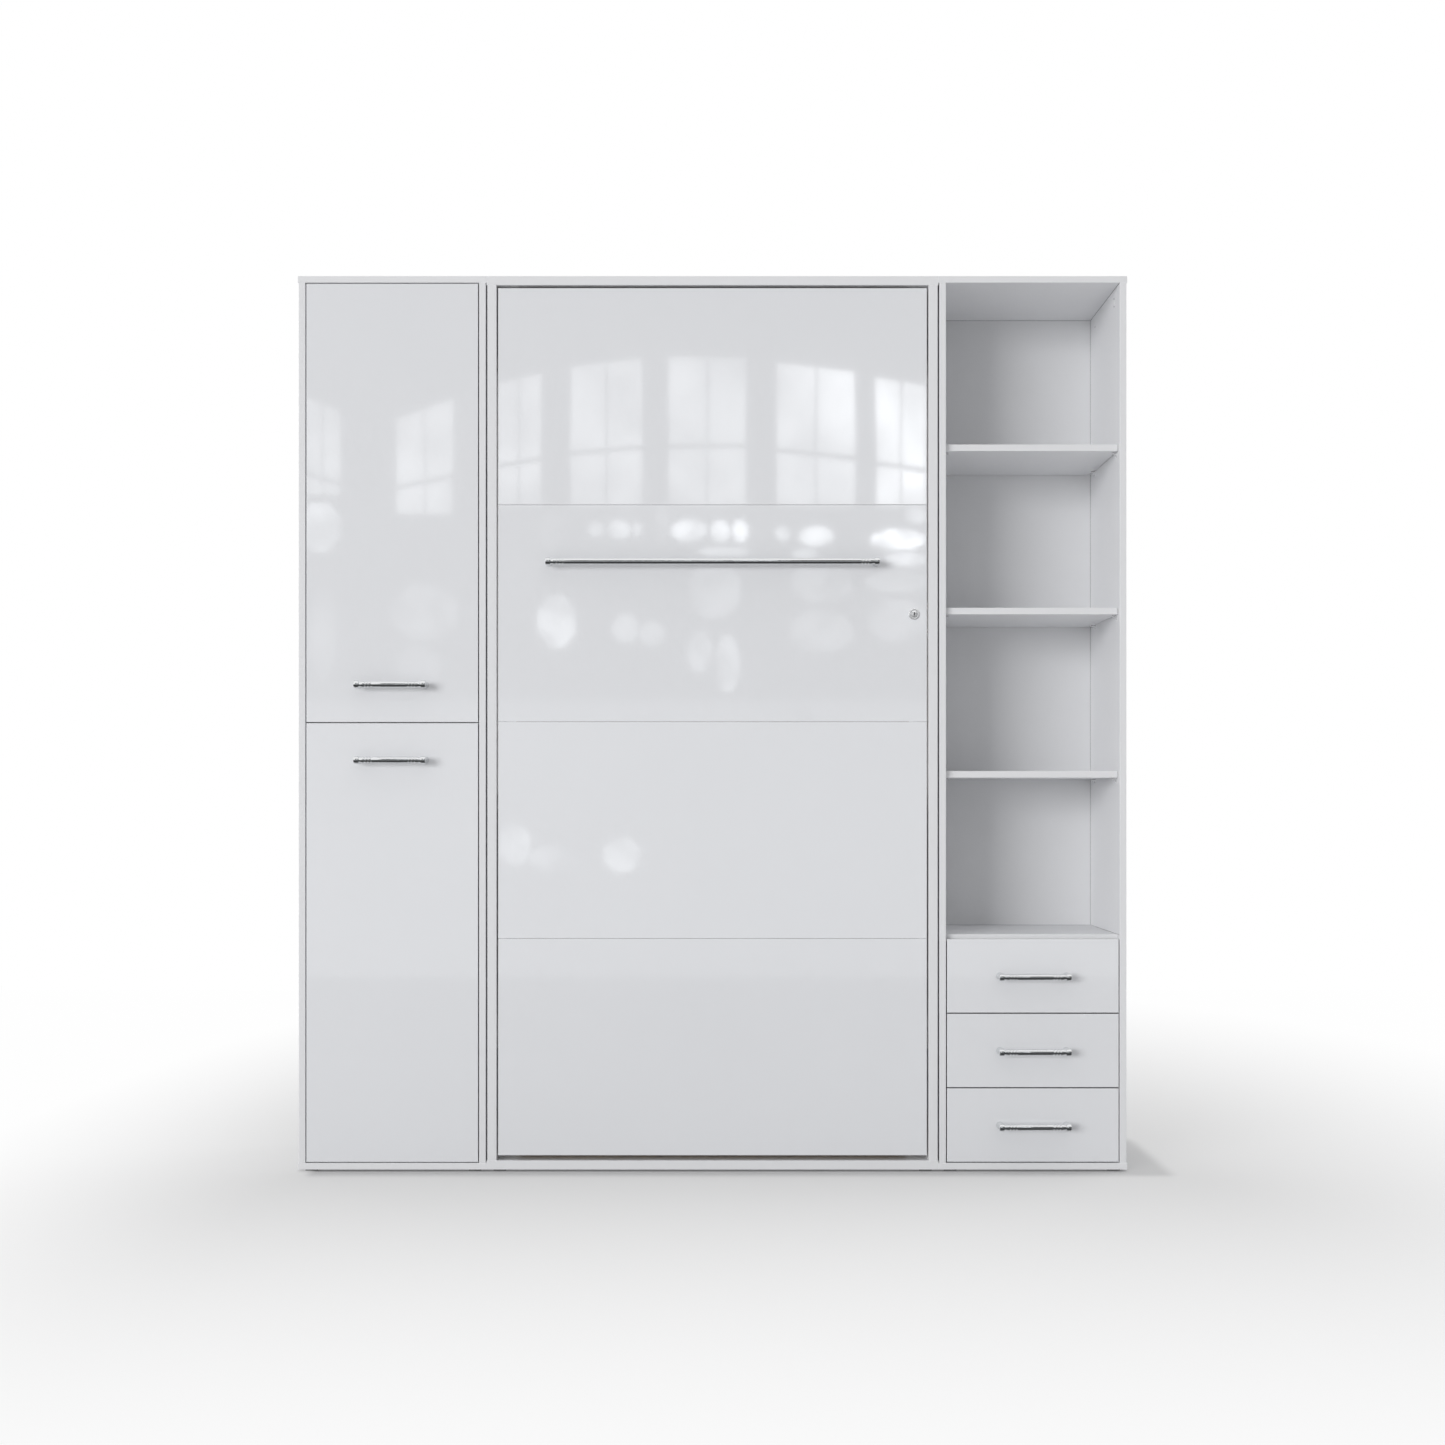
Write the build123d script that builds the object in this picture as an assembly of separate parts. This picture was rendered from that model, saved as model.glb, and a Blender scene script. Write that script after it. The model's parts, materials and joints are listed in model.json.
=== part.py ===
from build123d import *
import os

os.makedirs("parts", exist_ok=True)

# Wall bed between a door cabinet (left) and a shelf and drawer cabinet (right), in millimetres.
# +Z is up and the fronts face -Y. Depths are measured from the plane of the fronts to the wall.

# Cases
UNIT_HEIGHT = 2160.0
CASE_DEPTH = 350.0
CABINET_WIDTH = 455.0
BED_CASE_WIDTH = 1090.0
CABINET_BOARD = 16.0
BED_BOARD = 22.0
OVERHANG = 2.0  # tops and bottoms stand this far proud of the sides
EASE = 0.8  # chamfer along front edges
GLIDE_HEIGHT = 5.0
GLIDE_HALF = 15.0
GLIDE_INSET = 30.0
BACK_DEPTH = 335.0
BACK_THICKNESS = 3.0
BACK_GROOVE = 6.0
BACK_PLAY = 0.2

# Fronts
FRONT_THICKNESS = 18.0
FRONT_GAP = 2.5
DOOR_SPLIT = 1083.0

# Shelves and their pins
SHELF_SETBACK = 18.0  # open shelves behind the plane of the fronts
DRAWER_SHELF_SETBACK = 20.0
DOOR_SHELF_SETBACK = 26.0  # shelves behind the doors, clear of their swing
SHELF_PLAY = 1.0
DRAWER_SHELF_TOP = 571.0
SHELF_PITCH = 395.5
RIGHT_SHELF_COUNT = 3
LEFT_SHELF_TOPS = (548.0, 1617.0)
PIN_RADIUS = 2.5
PIN_DEPTHS = (38.0, 280.0)
PIN_OUT = 7.0

# Turned bar handles
HANDLE_REACH = 40.0
HANDLE_LENGTH = 172.0
BED_HANDLE_LENGTH = 800.0
BAR_RADIUS = 8.0
CAP_RADIUS = 9.5
CAP_LENGTH = 12.0
FLARE_DROP = 1.0
FLARE_LENGTH = 9.0
POST_RADIUS = 5.5
POST_FOOT_RADIUS = 9.0
DOOR_HANDLE_OFFSET = 90.5  # from the joint of the doors
BED_HANDLE_HEIGHT = 1468.0
HANDLE_SIDES = 24  # flats of a turned bar

# Concealed door hinges, with one pin each
HINGE_FROM_END = 100.0
HINGE_PIN_INSET = 11.0  # from the door's edge
HINGE_PIN_DEPTH = 7.0
HINGE_PIN_RADIUS = 1.75
HINGE_PIN_HALF = 10.5
HINGE_PLAY = 0.05
KNUCKLE_RADIUS = 3.0
ARM_HALF_HEIGHT = 6.0
ARM_HALF_WIDTH = 2.5
NOTCH_PLAY = 0.4
NOTCH_FLOOR = 3.0
NOTCH_OVERCUT = 1.0  # past the door's edge and the cup's flange
TONGUE_LENGTH = 17.5  # straight end of the arm behind its pin
CUP_RADIUS = 17.5
CUP_INSET = 22.5  # cup centre from the door's edge
CUP_FLOOR = 4.5
FLANGE_THICKNESS = 1.2
FLANGE_HALF_HEIGHT = 31.0
PLATE_THICKNESS = 3.0
PLATE_DEPTHS = (30.0, 72.0)
PLATE_WING_DEPTH = 46.0
PLATE_WING_HALF = 24.0

# Drawers on roller runners
DRAWER_NAMES = ("bottom_drawer", "middle_drawer", "top_drawer")
DRAWER_FRONT_BASE = 24.0
DRAWER_FRONT_HEIGHT = 177.0
DRAWER_FRONT_GAP = 2.8
RUNNER_ROOM = 12.5
BOX_BOARD = 12.0
BOX_DEPTH = 300.0
BOX_HEIGHT = 120.0
BOX_LIFT = 28.0  # box above the lower edge of its front
BOX_BOTTOM_LIFT = 8.0
BOX_BOTTOM = 3.0
RUNNER_SHEET = 1.2
RUNNER_HEIGHT = 20.0
RUNNER_WIDTH = 9.0
RUNNER_DEPTHS = (21.0, 321.0)
ROLLER_RADIUS = 6.5
ROLLER_PLAY = 0.3
FRONT_ROLLER_DEPTH = 29.0
REAR_ROLLER_DEPTH = 300.0

# Folding leaf, on stub axles at the pivot
LEAF_HALF_WIDTH = 517.0
LEAF_BOTTOM = 39.5
LEAF_TOP = 2131.0
BOARD_COUNT = 4
BOARD_GAP = 0.5
BOARD_EASE = 1.2
PIVOT_DEPTH = 60.0
PIVOT_HEIGHT = 220.0
RAIL_INSIDE = 455.0
RAIL_THICKNESS = 20.0
RAIL_DEPTHS = (FRONT_THICKNESS, 135.0)
RAIL_ENDS = (45.0, 2118.0)
RAIL_ROUND = 5.0
BATTEN_THICKNESS = 22.0
BATTEN_HALF_HEIGHT = 45.0
MATTRESS_SIZE = (900.0, 180.0, 2000.0)
MATTRESS_DEPTH = 95.0
MATTRESS_BASE = 81.5
MATTRESS_CORNER = 45.0
MATTRESS_EDGE = 14.0

# Sprung slats
SLAT_COUNT = 15
SLAT_ENDS = (150.0, 2013.0)
SLAT_WIDTH = 60.0
SLAT_THICKNESS = 8.0
SLAT_HALF_LENGTH = 443.0
SLAT_DEPTH = 76.0
SLAT_CROWN = 10.0
HOLDER_DEPTHS = (71.0, 90.0)
HOLDER_LENGTH = 26.0
HOLDER_MARGIN = 4.0
HOLDER_PLAY = 1.0

# Pivot levers on the leaf and pivot plates in the case
LEVER_THICKNESS = 5.0
LEVER_PIVOT_ROUND = 30.0
LEVER_SPRING_ROUND = 20.0
LEVER_TAIL_ROUND = 24.0
LEVER_TAIL_HEIGHT = 400.0
BUSH_RADIUS = 16.0
BUSH_LENGTH = 20.0
AXLE_RADIUS = 8.0
AXLE_PLAY = 0.05
AXLE_SHOULDER_RADIUS = 13.0
AXLE_SHOULDER_GAP = 2.0
AXLE_TIP_GAP = 1.0
PIVOT_PLATE_THICKNESS = 3.0
PIVOT_PLATE_HALF = (40.0, 75.0)

# Gas springs
SPRING_X = 498.0
SPRING_TOP_DEPTH = 150.0
SPRING_TOP_HEIGHT = 900.0
SPRING_FOOT_DEPTH = 90.0
SPRING_FOOT_HEIGHT = 115.0
CYLINDER_RADIUS = 14.0
CYLINDER_START = 30.0
CYLINDER_END = 537.0
CYLINDER_BORE_START = 330.0
ROD_RADIUS = 6.0
ROD_START = 477.0
ROD_PLAY = 0.05
EYE_RADIUS = 11.0
EYE_WIDTH = 14.0
EYE_NECK_RADIUS = 6.0
STUD_RADIUS = 5.0
STUD_PLAY = 0.05
ROD_PIN_GAP = 0.3
ANCHOR_PLATE = 3.0
ANCHOR_HALF = (25.0, 45.0)
STUD_HEAD_RADIUS = 8.0
STUD_HEAD_GAP = 0.3
STUD_HEAD = 3.0

# Foot bow: holds the mattress when closed, stands on the floor when open
BOW_ARM_X = 490.0
BOW_ARM_THICKNESS = 8.0
BOW_ARM_ROUND = 12.0
BOW_BAR_RADIUS = 10.0
BOW_PIVOT_DEPTH = 70.0
BOW_PIVOT_HEIGHT = 2075.0
BOW_BAR_DEPTH = 290.0
BOW_BAR_HEIGHT = 2004.0
BOW_PIN_RADIUS = 6.0
BOW_PIN_PLAY = 0.05

# Key lock in the bed front
LOCK_X = 486.0
LOCK_HEIGHT = 1345.0
ESCUTCHEON_RADIUS = 14.0
ESCUTCHEON_HEIGHT = 3.0
LOCK_BODY_RADIUS = 10.0
LOCK_BODY_END = 24.0
PLUG_RADIUS = 7.5
PLUG_PLAY = 0.05
PLUG_PROUD = 4.0
KEYWAY_SIZE = (2.6, 8.0)
KEYWAY_DEPTH = 3.0
CAM_DEPTHS = (24.5, 27.5)
CAM_HALF_WIDTH = 7.0
CAM_LENGTH = 43.0
STRIKE_THICKNESS = 1.5
STRIKE_DEPTHS = (18.5, 33.5)
STRIKE_HEIGHTS = (1298.0, 1372.0)
MORTISE_DEPTHS = (22.0, 30.0)
MORTISE_HEIGHTS = (1311.0, 1359.0)
MORTISE_IN = 13.0

# Back rails of the bed case, with holes for the wall bolts
BACK_RAIL_HEIGHT = 100.0
BACK_RAIL_THICKNESS = 16.0
WALL_BOLT_RADIUS = 4.5
WALL_BOLT_SPREAD = 900.0
WALL_BOLT_RISE = 50.0

# Places worked out from the sizes above
FRONT_Y = (HANDLE_REACH - CASE_DEPTH) / 2
UNIT_HALF = BED_CASE_WIDTH / 2 + CABINET_WIDTH
CABINET_NEAR = BED_CASE_WIDTH / 2 + OVERHANG
CABINET_FAR = UNIT_HALF - OVERHANG
INSIDE_NEAR = CABINET_NEAR + CABINET_BOARD
INSIDE_FAR = CABINET_FAR - CABINET_BOARD
CABINET_FLOOR = GLIDE_HEIGHT + CABINET_BOARD
CABINET_CEILING = UNIT_HEIGHT - CABINET_BOARD
BED_FLOOR = GLIDE_HEIGHT + BED_BOARD
BED_CEILING = UNIT_HEIGHT - BED_BOARD
BED_INSIDE = BED_CASE_WIDTH / 2 - OVERHANG - BED_BOARD
RIGHT_SHELF_TOPS = [DRAWER_SHELF_TOP + SHELF_PITCH * (step + 1) for step in range(RIGHT_SHELF_COUNT)]
CABINET_MIDDLE = (INSIDE_NEAR + INSIDE_FAR) / 2
RAIL_OUTSIDE = RAIL_INSIDE + RAIL_THICKNESS
LEVER_FACE = RAIL_OUTSIDE + LEVER_THICKNESS
BOARD_HEIGHT = (LEAF_TOP - LEAF_BOTTOM - BOARD_GAP * (BOARD_COUNT - 1)) / BOARD_COUNT
DOOR_EDGE = -INSIDE_FAR + FRONT_GAP
HINGE_PIN_X = DOOR_EDGE + HINGE_PIN_INSET
CUP_X = DOOR_EDGE + CUP_INSET
BAR_DEPTH = CAP_RADIUS - HANDLE_REACH
POST_SEAT = BAR_DEPTH + BAR_RADIUS - FLARE_DROP  # flat on the back of each cap
FROM_BASE = (Align.CENTER, Align.CENTER, Align.MIN)
SMALL_ROUND_SIDES = 12  # flats of the small repeated pins and rollers


def at(x, depth, z):
    """The point at a depth behind the plane of the fronts."""
    return Vector(x, FRONT_Y + depth, z)


def block(x_span, depth_span, z_span):
    """A square block between three pairs of limits."""
    spans = (x_span, depth_span, z_span)
    middle = at(*[(low + high) / 2 for low, high in spans])
    return Pos(middle) * Box(*[high - low for low, high in spans])


def round_bar(start, end, radius):
    """A round bar from one point to another."""
    axis = end - start
    return Plane(origin=start, z_dir=axis) * Cylinder(radius, axis.length, align=FROM_BASE)


def small_round(start, end, radius):
    """A small repeated round, made with a few flats."""
    axis = end - start
    flats = RegularPolygon(radius, SMALL_ROUND_SIDES)
    return extrude(Plane(origin=start, z_dir=axis) * flats, axis.length)


def eased(board, amount=EASE):
    """A board with its front edges chamfered."""
    front = board.faces().sort_by(Axis.Y)[0]
    return chamfer(front.edges(), amount)


def on_side(side, near, far):
    """The x limits between two distances from the middle, on the left (-1) or the right (+1)."""
    return (near, far) if side > 0 else (-far, -near)


def side_plane(x):
    """The upright plane at one x whose own axes are depth and height."""
    return Plane(origin=(x, FRONT_Y, 0), x_dir=(0, 1, 0), z_dir=(1, 0, 0))


def both_sides(right_piece):
    """A right-hand piece and its mirror image."""
    return [mirror(right_piece, Plane.YZ), right_piece]


def pin_places(shelf_tops):
    """Depth and height of each shelf pin in one side of a cabinet."""
    heights = [top - CABINET_BOARD - PIN_RADIUS for top in shelf_tops]
    return [(depth, height) for height in heights for depth in PIN_DEPTHS]


def cabinet(side):
    """The five boards of a cabinet: inner side, outer side, top, bottom and back."""
    full_depth = (0, CASE_DEPTH)
    upright = (CABINET_FLOOR, CABINET_CEILING)
    across = on_side(side, UNIT_HALF - CABINET_WIDTH, UNIT_HALF)
    inner = eased(block(on_side(side, CABINET_NEAR, INSIDE_NEAR), full_depth, upright))
    outer = eased(block(on_side(side, INSIDE_FAR, CABINET_FAR), full_depth, upright))
    top = eased(block(across, full_depth, (CABINET_CEILING, UNIT_HEIGHT)))
    bottom = eased(block(across, full_depth, (GLIDE_HEIGHT, CABINET_FLOOR)))
    groove = block(
        on_side(side, INSIDE_NEAR - BACK_GROOVE, INSIDE_FAR + BACK_GROOVE),
        (BACK_DEPTH, BACK_DEPTH + BACK_THICKNESS + BACK_PLAY),
        (CABINET_FLOOR - BACK_GROOVE, CABINET_CEILING + BACK_GROOVE),
    )
    reach = BACK_GROOVE - BACK_PLAY
    back = block(
        on_side(side, INSIDE_NEAR - reach, INSIDE_FAR + reach),
        (BACK_DEPTH, BACK_DEPTH + BACK_THICKNESS),
        (CABINET_FLOOR - reach, CABINET_CEILING + reach),
    )
    return {
        "inner_side": inner - groove,
        "outer_side": outer - groove,
        "top": top - groove,
        "bottom": bottom - groove,
        "back": back,
    }


def loose_shelves(side, shelf_tops, setback):
    """Shelves that lie on pins, a little short of the sides."""
    across = on_side(side, INSIDE_NEAR + SHELF_PLAY, INSIDE_FAR - SHELF_PLAY)
    depths = (setback, BACK_DEPTH - SHELF_PLAY)
    return [eased(block(across, depths, (top - CABINET_BOARD, top))) for top in shelf_tops]


def fixed_shelf(side, top, setback):
    """A shelf screwed between the sides of a cabinet."""
    across = on_side(side, INSIDE_NEAR, INSIDE_FAR)
    return eased(block(across, (setback, BACK_DEPTH), (top - CABINET_BOARD, top)))


def shelf_pins():
    """The pins under the loose shelves, standing out of the sides."""
    pins = []
    for side, shelf_tops in ((-1, LEFT_SHELF_TOPS), (1, RIGHT_SHELF_TOPS)):
        for depth, height in pin_places(shelf_tops):
            for face, out in ((INSIDE_NEAR, -1), (INSIDE_FAR, 1)):
                seat = at(side * face, depth, height)
                tip = at(side * (face - out * PIN_OUT), depth, height)
                pins.append(small_round(seat, tip, PIN_RADIUS))
    return pins


def glide_feet():
    """Four glides under each case."""
    feet = []
    for near, far in (
        (-UNIT_HALF, -BED_CASE_WIDTH / 2),
        (-BED_CASE_WIDTH / 2, BED_CASE_WIDTH / 2),
        (BED_CASE_WIDTH / 2, UNIT_HALF),
    ):
        for x in (near + GLIDE_INSET, far - GLIDE_INSET):
            for depth in (GLIDE_INSET, CASE_DEPTH - GLIDE_INSET):
                x_span = (x - GLIDE_HALF, x + GLIDE_HALF)
                depth_span = (depth - GLIDE_HALF, depth + GLIDE_HALF)
                feet.append(block(x_span, depth_span, (0, GLIDE_HEIGHT)))
    return feet


def taper(start, end, start_radius, end_radius, sides):
    """A turned length from one point to another, made with a few flats."""
    rings = [
        Plane(origin=point, x_dir=(0, 0, 1), z_dir=end - start) * RegularPolygon(radius, sides)
        for point, radius in ((start, start_radius), (end, end_radius))
    ]
    return loft(rings, ruled=True)


def handle(x, z, length):
    """A turned bar with a thicker cap at each end, seated on two posts that flare to their foot."""
    half = length / 2
    cap_root = half - CAP_LENGTH
    flare_end = cap_root - FLARE_LENGTH
    root_radius = BAR_RADIUS - FLARE_DROP
    bar_ends = (at(x + end * flare_end, BAR_DEPTH, z) for end in (-1, 1))
    bar = taper(*bar_ends, BAR_RADIUS, BAR_RADIUS, HANDLE_SIDES)
    posts = []
    for end in (-1, 1):
        stops = (flare_end, cap_root, half)
        flare_at, root_at, tip_at = (at(x + end * along, BAR_DEPTH, z) for along in stops)
        bar += taper(flare_at, root_at, BAR_RADIUS, root_radius, HANDLE_SIDES)
        bar += taper(root_at, tip_at, CAP_RADIUS, CAP_RADIUS, HANDLE_SIDES)
        cap_span = sorted((root_at.X, tip_at.X))
        bar -= block(cap_span, (POST_SEAT, 0), (z - CAP_RADIUS, z + CAP_RADIUS))
        foot, seat = (at(sum(cap_span) / 2, depth, z) for depth in (0, POST_SEAT))
        posts.append(taper(foot, seat, POST_FOOT_RADIUS, POST_RADIUS, SMALL_ROUND_SIDES))
    return [bar] + posts


def hinge_heights(z_span):
    """Heights of the two hinges of a door."""
    return (z_span[0] + HINGE_FROM_END, z_span[1] - HINGE_FROM_END)


def hinge_notch(height):
    """The room that a hinge arm needs in the door, open to its edge and its back."""
    return block(
        (DOOR_EDGE - NOTCH_OVERCUT, HINGE_PIN_X + KNUCKLE_RADIUS + NOTCH_PLAY),
        (NOTCH_FLOOR, FRONT_THICKNESS + FLANGE_THICKNESS + NOTCH_OVERCUT),
        (height - ARM_HALF_HEIGHT - NOTCH_PLAY, height + ARM_HALF_HEIGHT + NOTCH_PLAY),
    )


def door(z_span):
    """An inset door, bored for its hinge cups."""
    board = eased(block(on_side(-1, INSIDE_NEAR + FRONT_GAP, -DOOR_EDGE), (0, FRONT_THICKNESS), z_span))
    for height in hinge_heights(z_span):
        back = at(CUP_X, FRONT_THICKNESS, height)
        board -= round_bar(at(CUP_X, CUP_FLOOR, height), back, CUP_RADIUS)
        board -= hinge_notch(height)
    return board


def hinge_cup(height):
    """A hinge cup with its flange on the door's back and its pin across the mouth."""
    floor = at(CUP_X, CUP_FLOOR, height)
    mouth = at(CUP_X, FRONT_THICKNESS, height)
    cup = round_bar(floor, mouth, CUP_RADIUS)
    cup += block(
        (CUP_X - CUP_RADIUS / 2, CUP_X + CUP_RADIUS / 2),
        (FRONT_THICKNESS, FRONT_THICKNESS + FLANGE_THICKNESS),
        (height - FLANGE_HALF_HEIGHT, height + FLANGE_HALF_HEIGHT),
    )
    cup -= hinge_notch(height)
    low = at(HINGE_PIN_X, HINGE_PIN_DEPTH, height - HINGE_PIN_HALF)
    high = at(HINGE_PIN_X, HINGE_PIN_DEPTH, height + HINGE_PIN_HALF)
    return cup + round_bar(low, high, HINGE_PIN_RADIUS)


def hinge_arm(height):
    """A cranked arm from a plate on the cabinet side to the hinge pin."""
    face = -INSIDE_FAR
    plate_front, plate_back = PLATE_DEPTHS
    tongue_left = HINGE_PIN_X - ARM_HALF_WIDTH
    tongue_right = HINGE_PIN_X + ARM_HALF_WIDTH
    outline = [
        (face + PLATE_THICKNESS, plate_back),
        (tongue_left, plate_back),
        (tongue_right, PLATE_WING_DEPTH),
        (tongue_right, HINGE_PIN_DEPTH),
        (tongue_left, HINGE_PIN_DEPTH),
        (tongue_left, HINGE_PIN_DEPTH + TONGUE_LENGTH),
        (face + PLATE_THICKNESS, plate_front + PLATE_THICKNESS),
    ]
    sketch = make_face(Polyline([(x, FRONT_Y + depth) for x, depth in outline], close=True))
    base = height - ARM_HALF_HEIGHT
    arm = extrude(Pos(0, 0, base) * sketch, 2 * ARM_HALF_HEIGHT, dir=(0, 0, 1))
    low = at(HINGE_PIN_X, HINGE_PIN_DEPTH, base)
    high = at(HINGE_PIN_X, HINGE_PIN_DEPTH, base + 2 * ARM_HALF_HEIGHT)
    arm += round_bar(low, high, KNUCKLE_RADIUS)
    plate_x = (face, face + PLATE_THICKNESS)
    arm += block(plate_x, PLATE_DEPTHS, (base, base + 2 * ARM_HALF_HEIGHT))
    arm += block(
        plate_x,
        (plate_front, PLATE_WING_DEPTH),
        (height - PLATE_WING_HALF, height + PLATE_WING_HALF),
    )
    return arm - round_bar(low, high, HINGE_PIN_RADIUS + HINGE_PLAY)


def drawer_base(index):
    """Height of the lower edge of a drawer front, counted from the bottom drawer."""
    return DRAWER_FRONT_BASE + index * (DRAWER_FRONT_HEIGHT + DRAWER_FRONT_GAP)


def drawer_front(index):
    """An inset drawer front."""
    base = drawer_base(index)
    across = (INSIDE_NEAR + FRONT_GAP, INSIDE_FAR - FRONT_GAP)
    return eased(block(across, (0, FRONT_THICKNESS), (base, base + DRAWER_FRONT_HEIGHT)))


def drawer_box(index):
    """Sides, front, back and bottom of a drawer box, with its two runner strips and rear rollers."""
    left = INSIDE_NEAR + RUNNER_ROOM
    right = INSIDE_FAR - RUNNER_ROOM
    front = FRONT_THICKNESS
    rear = FRONT_THICKNESS + BOX_DEPTH
    base = drawer_base(index) + BOX_LIFT
    rise = (base, base + BOX_HEIGHT)
    bottom_rise = (base + BOX_BOTTOM_LIFT, base + BOX_BOTTOM_LIFT + BOX_BOTTOM)
    inner = (left + BOX_BOARD, right - BOX_BOARD)
    pieces = [
        block((left, left + BOX_BOARD), (front, rear), rise),
        block((right - BOX_BOARD, right), (front, rear), rise),
        block(inner, (front, front + BOX_BOARD), rise),
        block(inner, (rear - BOX_BOARD, rear), rise),
        block(inner, (front + BOX_BOARD, rear - BOX_BOARD), bottom_rise),
    ]
    roller_centre = runner_base(index) + RUNNER_SHEET + ROLLER_PLAY + ROLLER_RADIUS
    flange = roller_centre + ROLLER_RADIUS + 2 * ROLLER_PLAY
    for face, out in ((left, -1), (right, 1)):
        strip_x = sorted((face, face + out * RUNNER_SHEET))
        flange_x = sorted((face, face + out * RUNNER_WIDTH))
        strip = block(strip_x, (RUNNER_DEPTHS[0], rear), (runner_base(index), flange))
        strip += block(flange_x, (RUNNER_DEPTHS[0], rear), (flange, flange + RUNNER_SHEET))
        hub = at(face + out * RUNNER_SHEET, REAR_ROLLER_DEPTH, roller_centre)
        tip = at(face + out * RUNNER_WIDTH, REAR_ROLLER_DEPTH, roller_centre)
        pieces += [strip, small_round(hub, tip, ROLLER_RADIUS)]
    return pieces


def runner_base(index):
    """Height of the lower edge of a drawer's runners."""
    return drawer_base(index) + BOX_LIFT + RUNNER_SHEET


def cabinet_runners():
    """Channels on the cabinet sides, each with a roller at its front end."""
    pieces = []
    for index in range(len(DRAWER_NAMES)):
        base = runner_base(index)
        rise = (base, base + RUNNER_HEIGHT)
        for face, out in ((INSIDE_NEAR, 1), (INSIDE_FAR, -1)):
            width_x = sorted((face, face + out * RUNNER_WIDTH))
            room_x = sorted((face + out * RUNNER_SHEET, face + out * 2 * RUNNER_WIDTH))
            channel = block(width_x, RUNNER_DEPTHS, rise)
            channel -= block(
                room_x,
                (0, CASE_DEPTH),
                (base + RUNNER_SHEET, base + RUNNER_HEIGHT - RUNNER_SHEET),
            )
            centre = base + RUNNER_SHEET + ROLLER_PLAY + ROLLER_RADIUS
            hub = at(face + out * RUNNER_SHEET, FRONT_ROLLER_DEPTH, centre)
            tip = at(face + out * RUNNER_WIDTH, FRONT_ROLLER_DEPTH, centre)
            pieces += [channel, small_round(hub, tip, ROLLER_RADIUS)]
    return pieces


def bed_case_side(side):
    """An upright side of the bed case."""
    across = on_side(side, BED_INSIDE, BED_INSIDE + BED_BOARD)
    return eased(block(across, (0, CASE_DEPTH), (BED_FLOOR, BED_CEILING)))


def bed_case_cap(z_span):
    """The top or the bottom of the bed case."""
    return eased(block((-BED_CASE_WIDTH / 2, BED_CASE_WIDTH / 2), (0, CASE_DEPTH), z_span))


def strike_seat():
    """The shallow seat of the strike plate and the mortise behind it, cut from the right side."""
    seat = block((BED_INSIDE, BED_INSIDE + STRIKE_THICKNESS), STRIKE_DEPTHS, STRIKE_HEIGHTS)
    return seat + block((BED_INSIDE, BED_INSIDE + MORTISE_IN), MORTISE_DEPTHS, MORTISE_HEIGHTS)


def lock_strike():
    """A thin plate, flush with the case side, with a slot for the cam."""
    plate = block((BED_INSIDE, BED_INSIDE + STRIKE_THICKNESS), STRIKE_DEPTHS, STRIKE_HEIGHTS)
    slot_x = (BED_INSIDE - STRIKE_THICKNESS, BED_INSIDE + 2 * STRIKE_THICKNESS)
    return plate - block(slot_x, MORTISE_DEPTHS, MORTISE_HEIGHTS)


def back_rails():
    """The upper back rail, bored for the wall bolts, and the lower one."""
    across = (-BED_INSIDE, BED_INSIDE)
    depths = (CASE_DEPTH - BACK_RAIL_THICKNESS, CASE_DEPTH)
    upper = block(across, depths, (BED_CEILING - BACK_RAIL_HEIGHT, BED_CEILING))
    lower = block(across, depths, (BED_FLOOR, BED_FLOOR + BACK_RAIL_HEIGHT))
    middle = BED_CEILING - BACK_RAIL_HEIGHT / 2
    for x in (-WALL_BOLT_SPREAD / 2, WALL_BOLT_SPREAD / 2):
        for z in (middle - WALL_BOLT_RISE / 2, middle + WALL_BOLT_RISE / 2):
            upper -= round_bar(at(x, depths[0], z), at(x, depths[1], z), WALL_BOLT_RADIUS)
    return [lower, upper]


def pivot_plate():
    """The right plate on the case side, with the shouldered stub axle of the leaf."""
    face = BED_INSIDE - PIVOT_PLATE_THICKNESS
    half_depth, half_height = PIVOT_PLATE_HALF
    plate = block(
        (face, BED_INSIDE),
        (PIVOT_DEPTH - half_depth, PIVOT_DEPTH + half_depth),
        (PIVOT_HEIGHT - half_height, PIVOT_HEIGHT + half_height),
    )
    shoulder_end = LEVER_FACE + BUSH_LENGTH + AXLE_SHOULDER_GAP
    plate_face = at(face, PIVOT_DEPTH, PIVOT_HEIGHT)
    shoulder = at(shoulder_end, PIVOT_DEPTH, PIVOT_HEIGHT)
    tip = at(RAIL_OUTSIDE + AXLE_TIP_GAP, PIVOT_DEPTH, PIVOT_HEIGHT)
    plate += round_bar(plate_face, shoulder, AXLE_SHOULDER_RADIUS)
    return plate + round_bar(shoulder, tip, AXLE_RADIUS)


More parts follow.
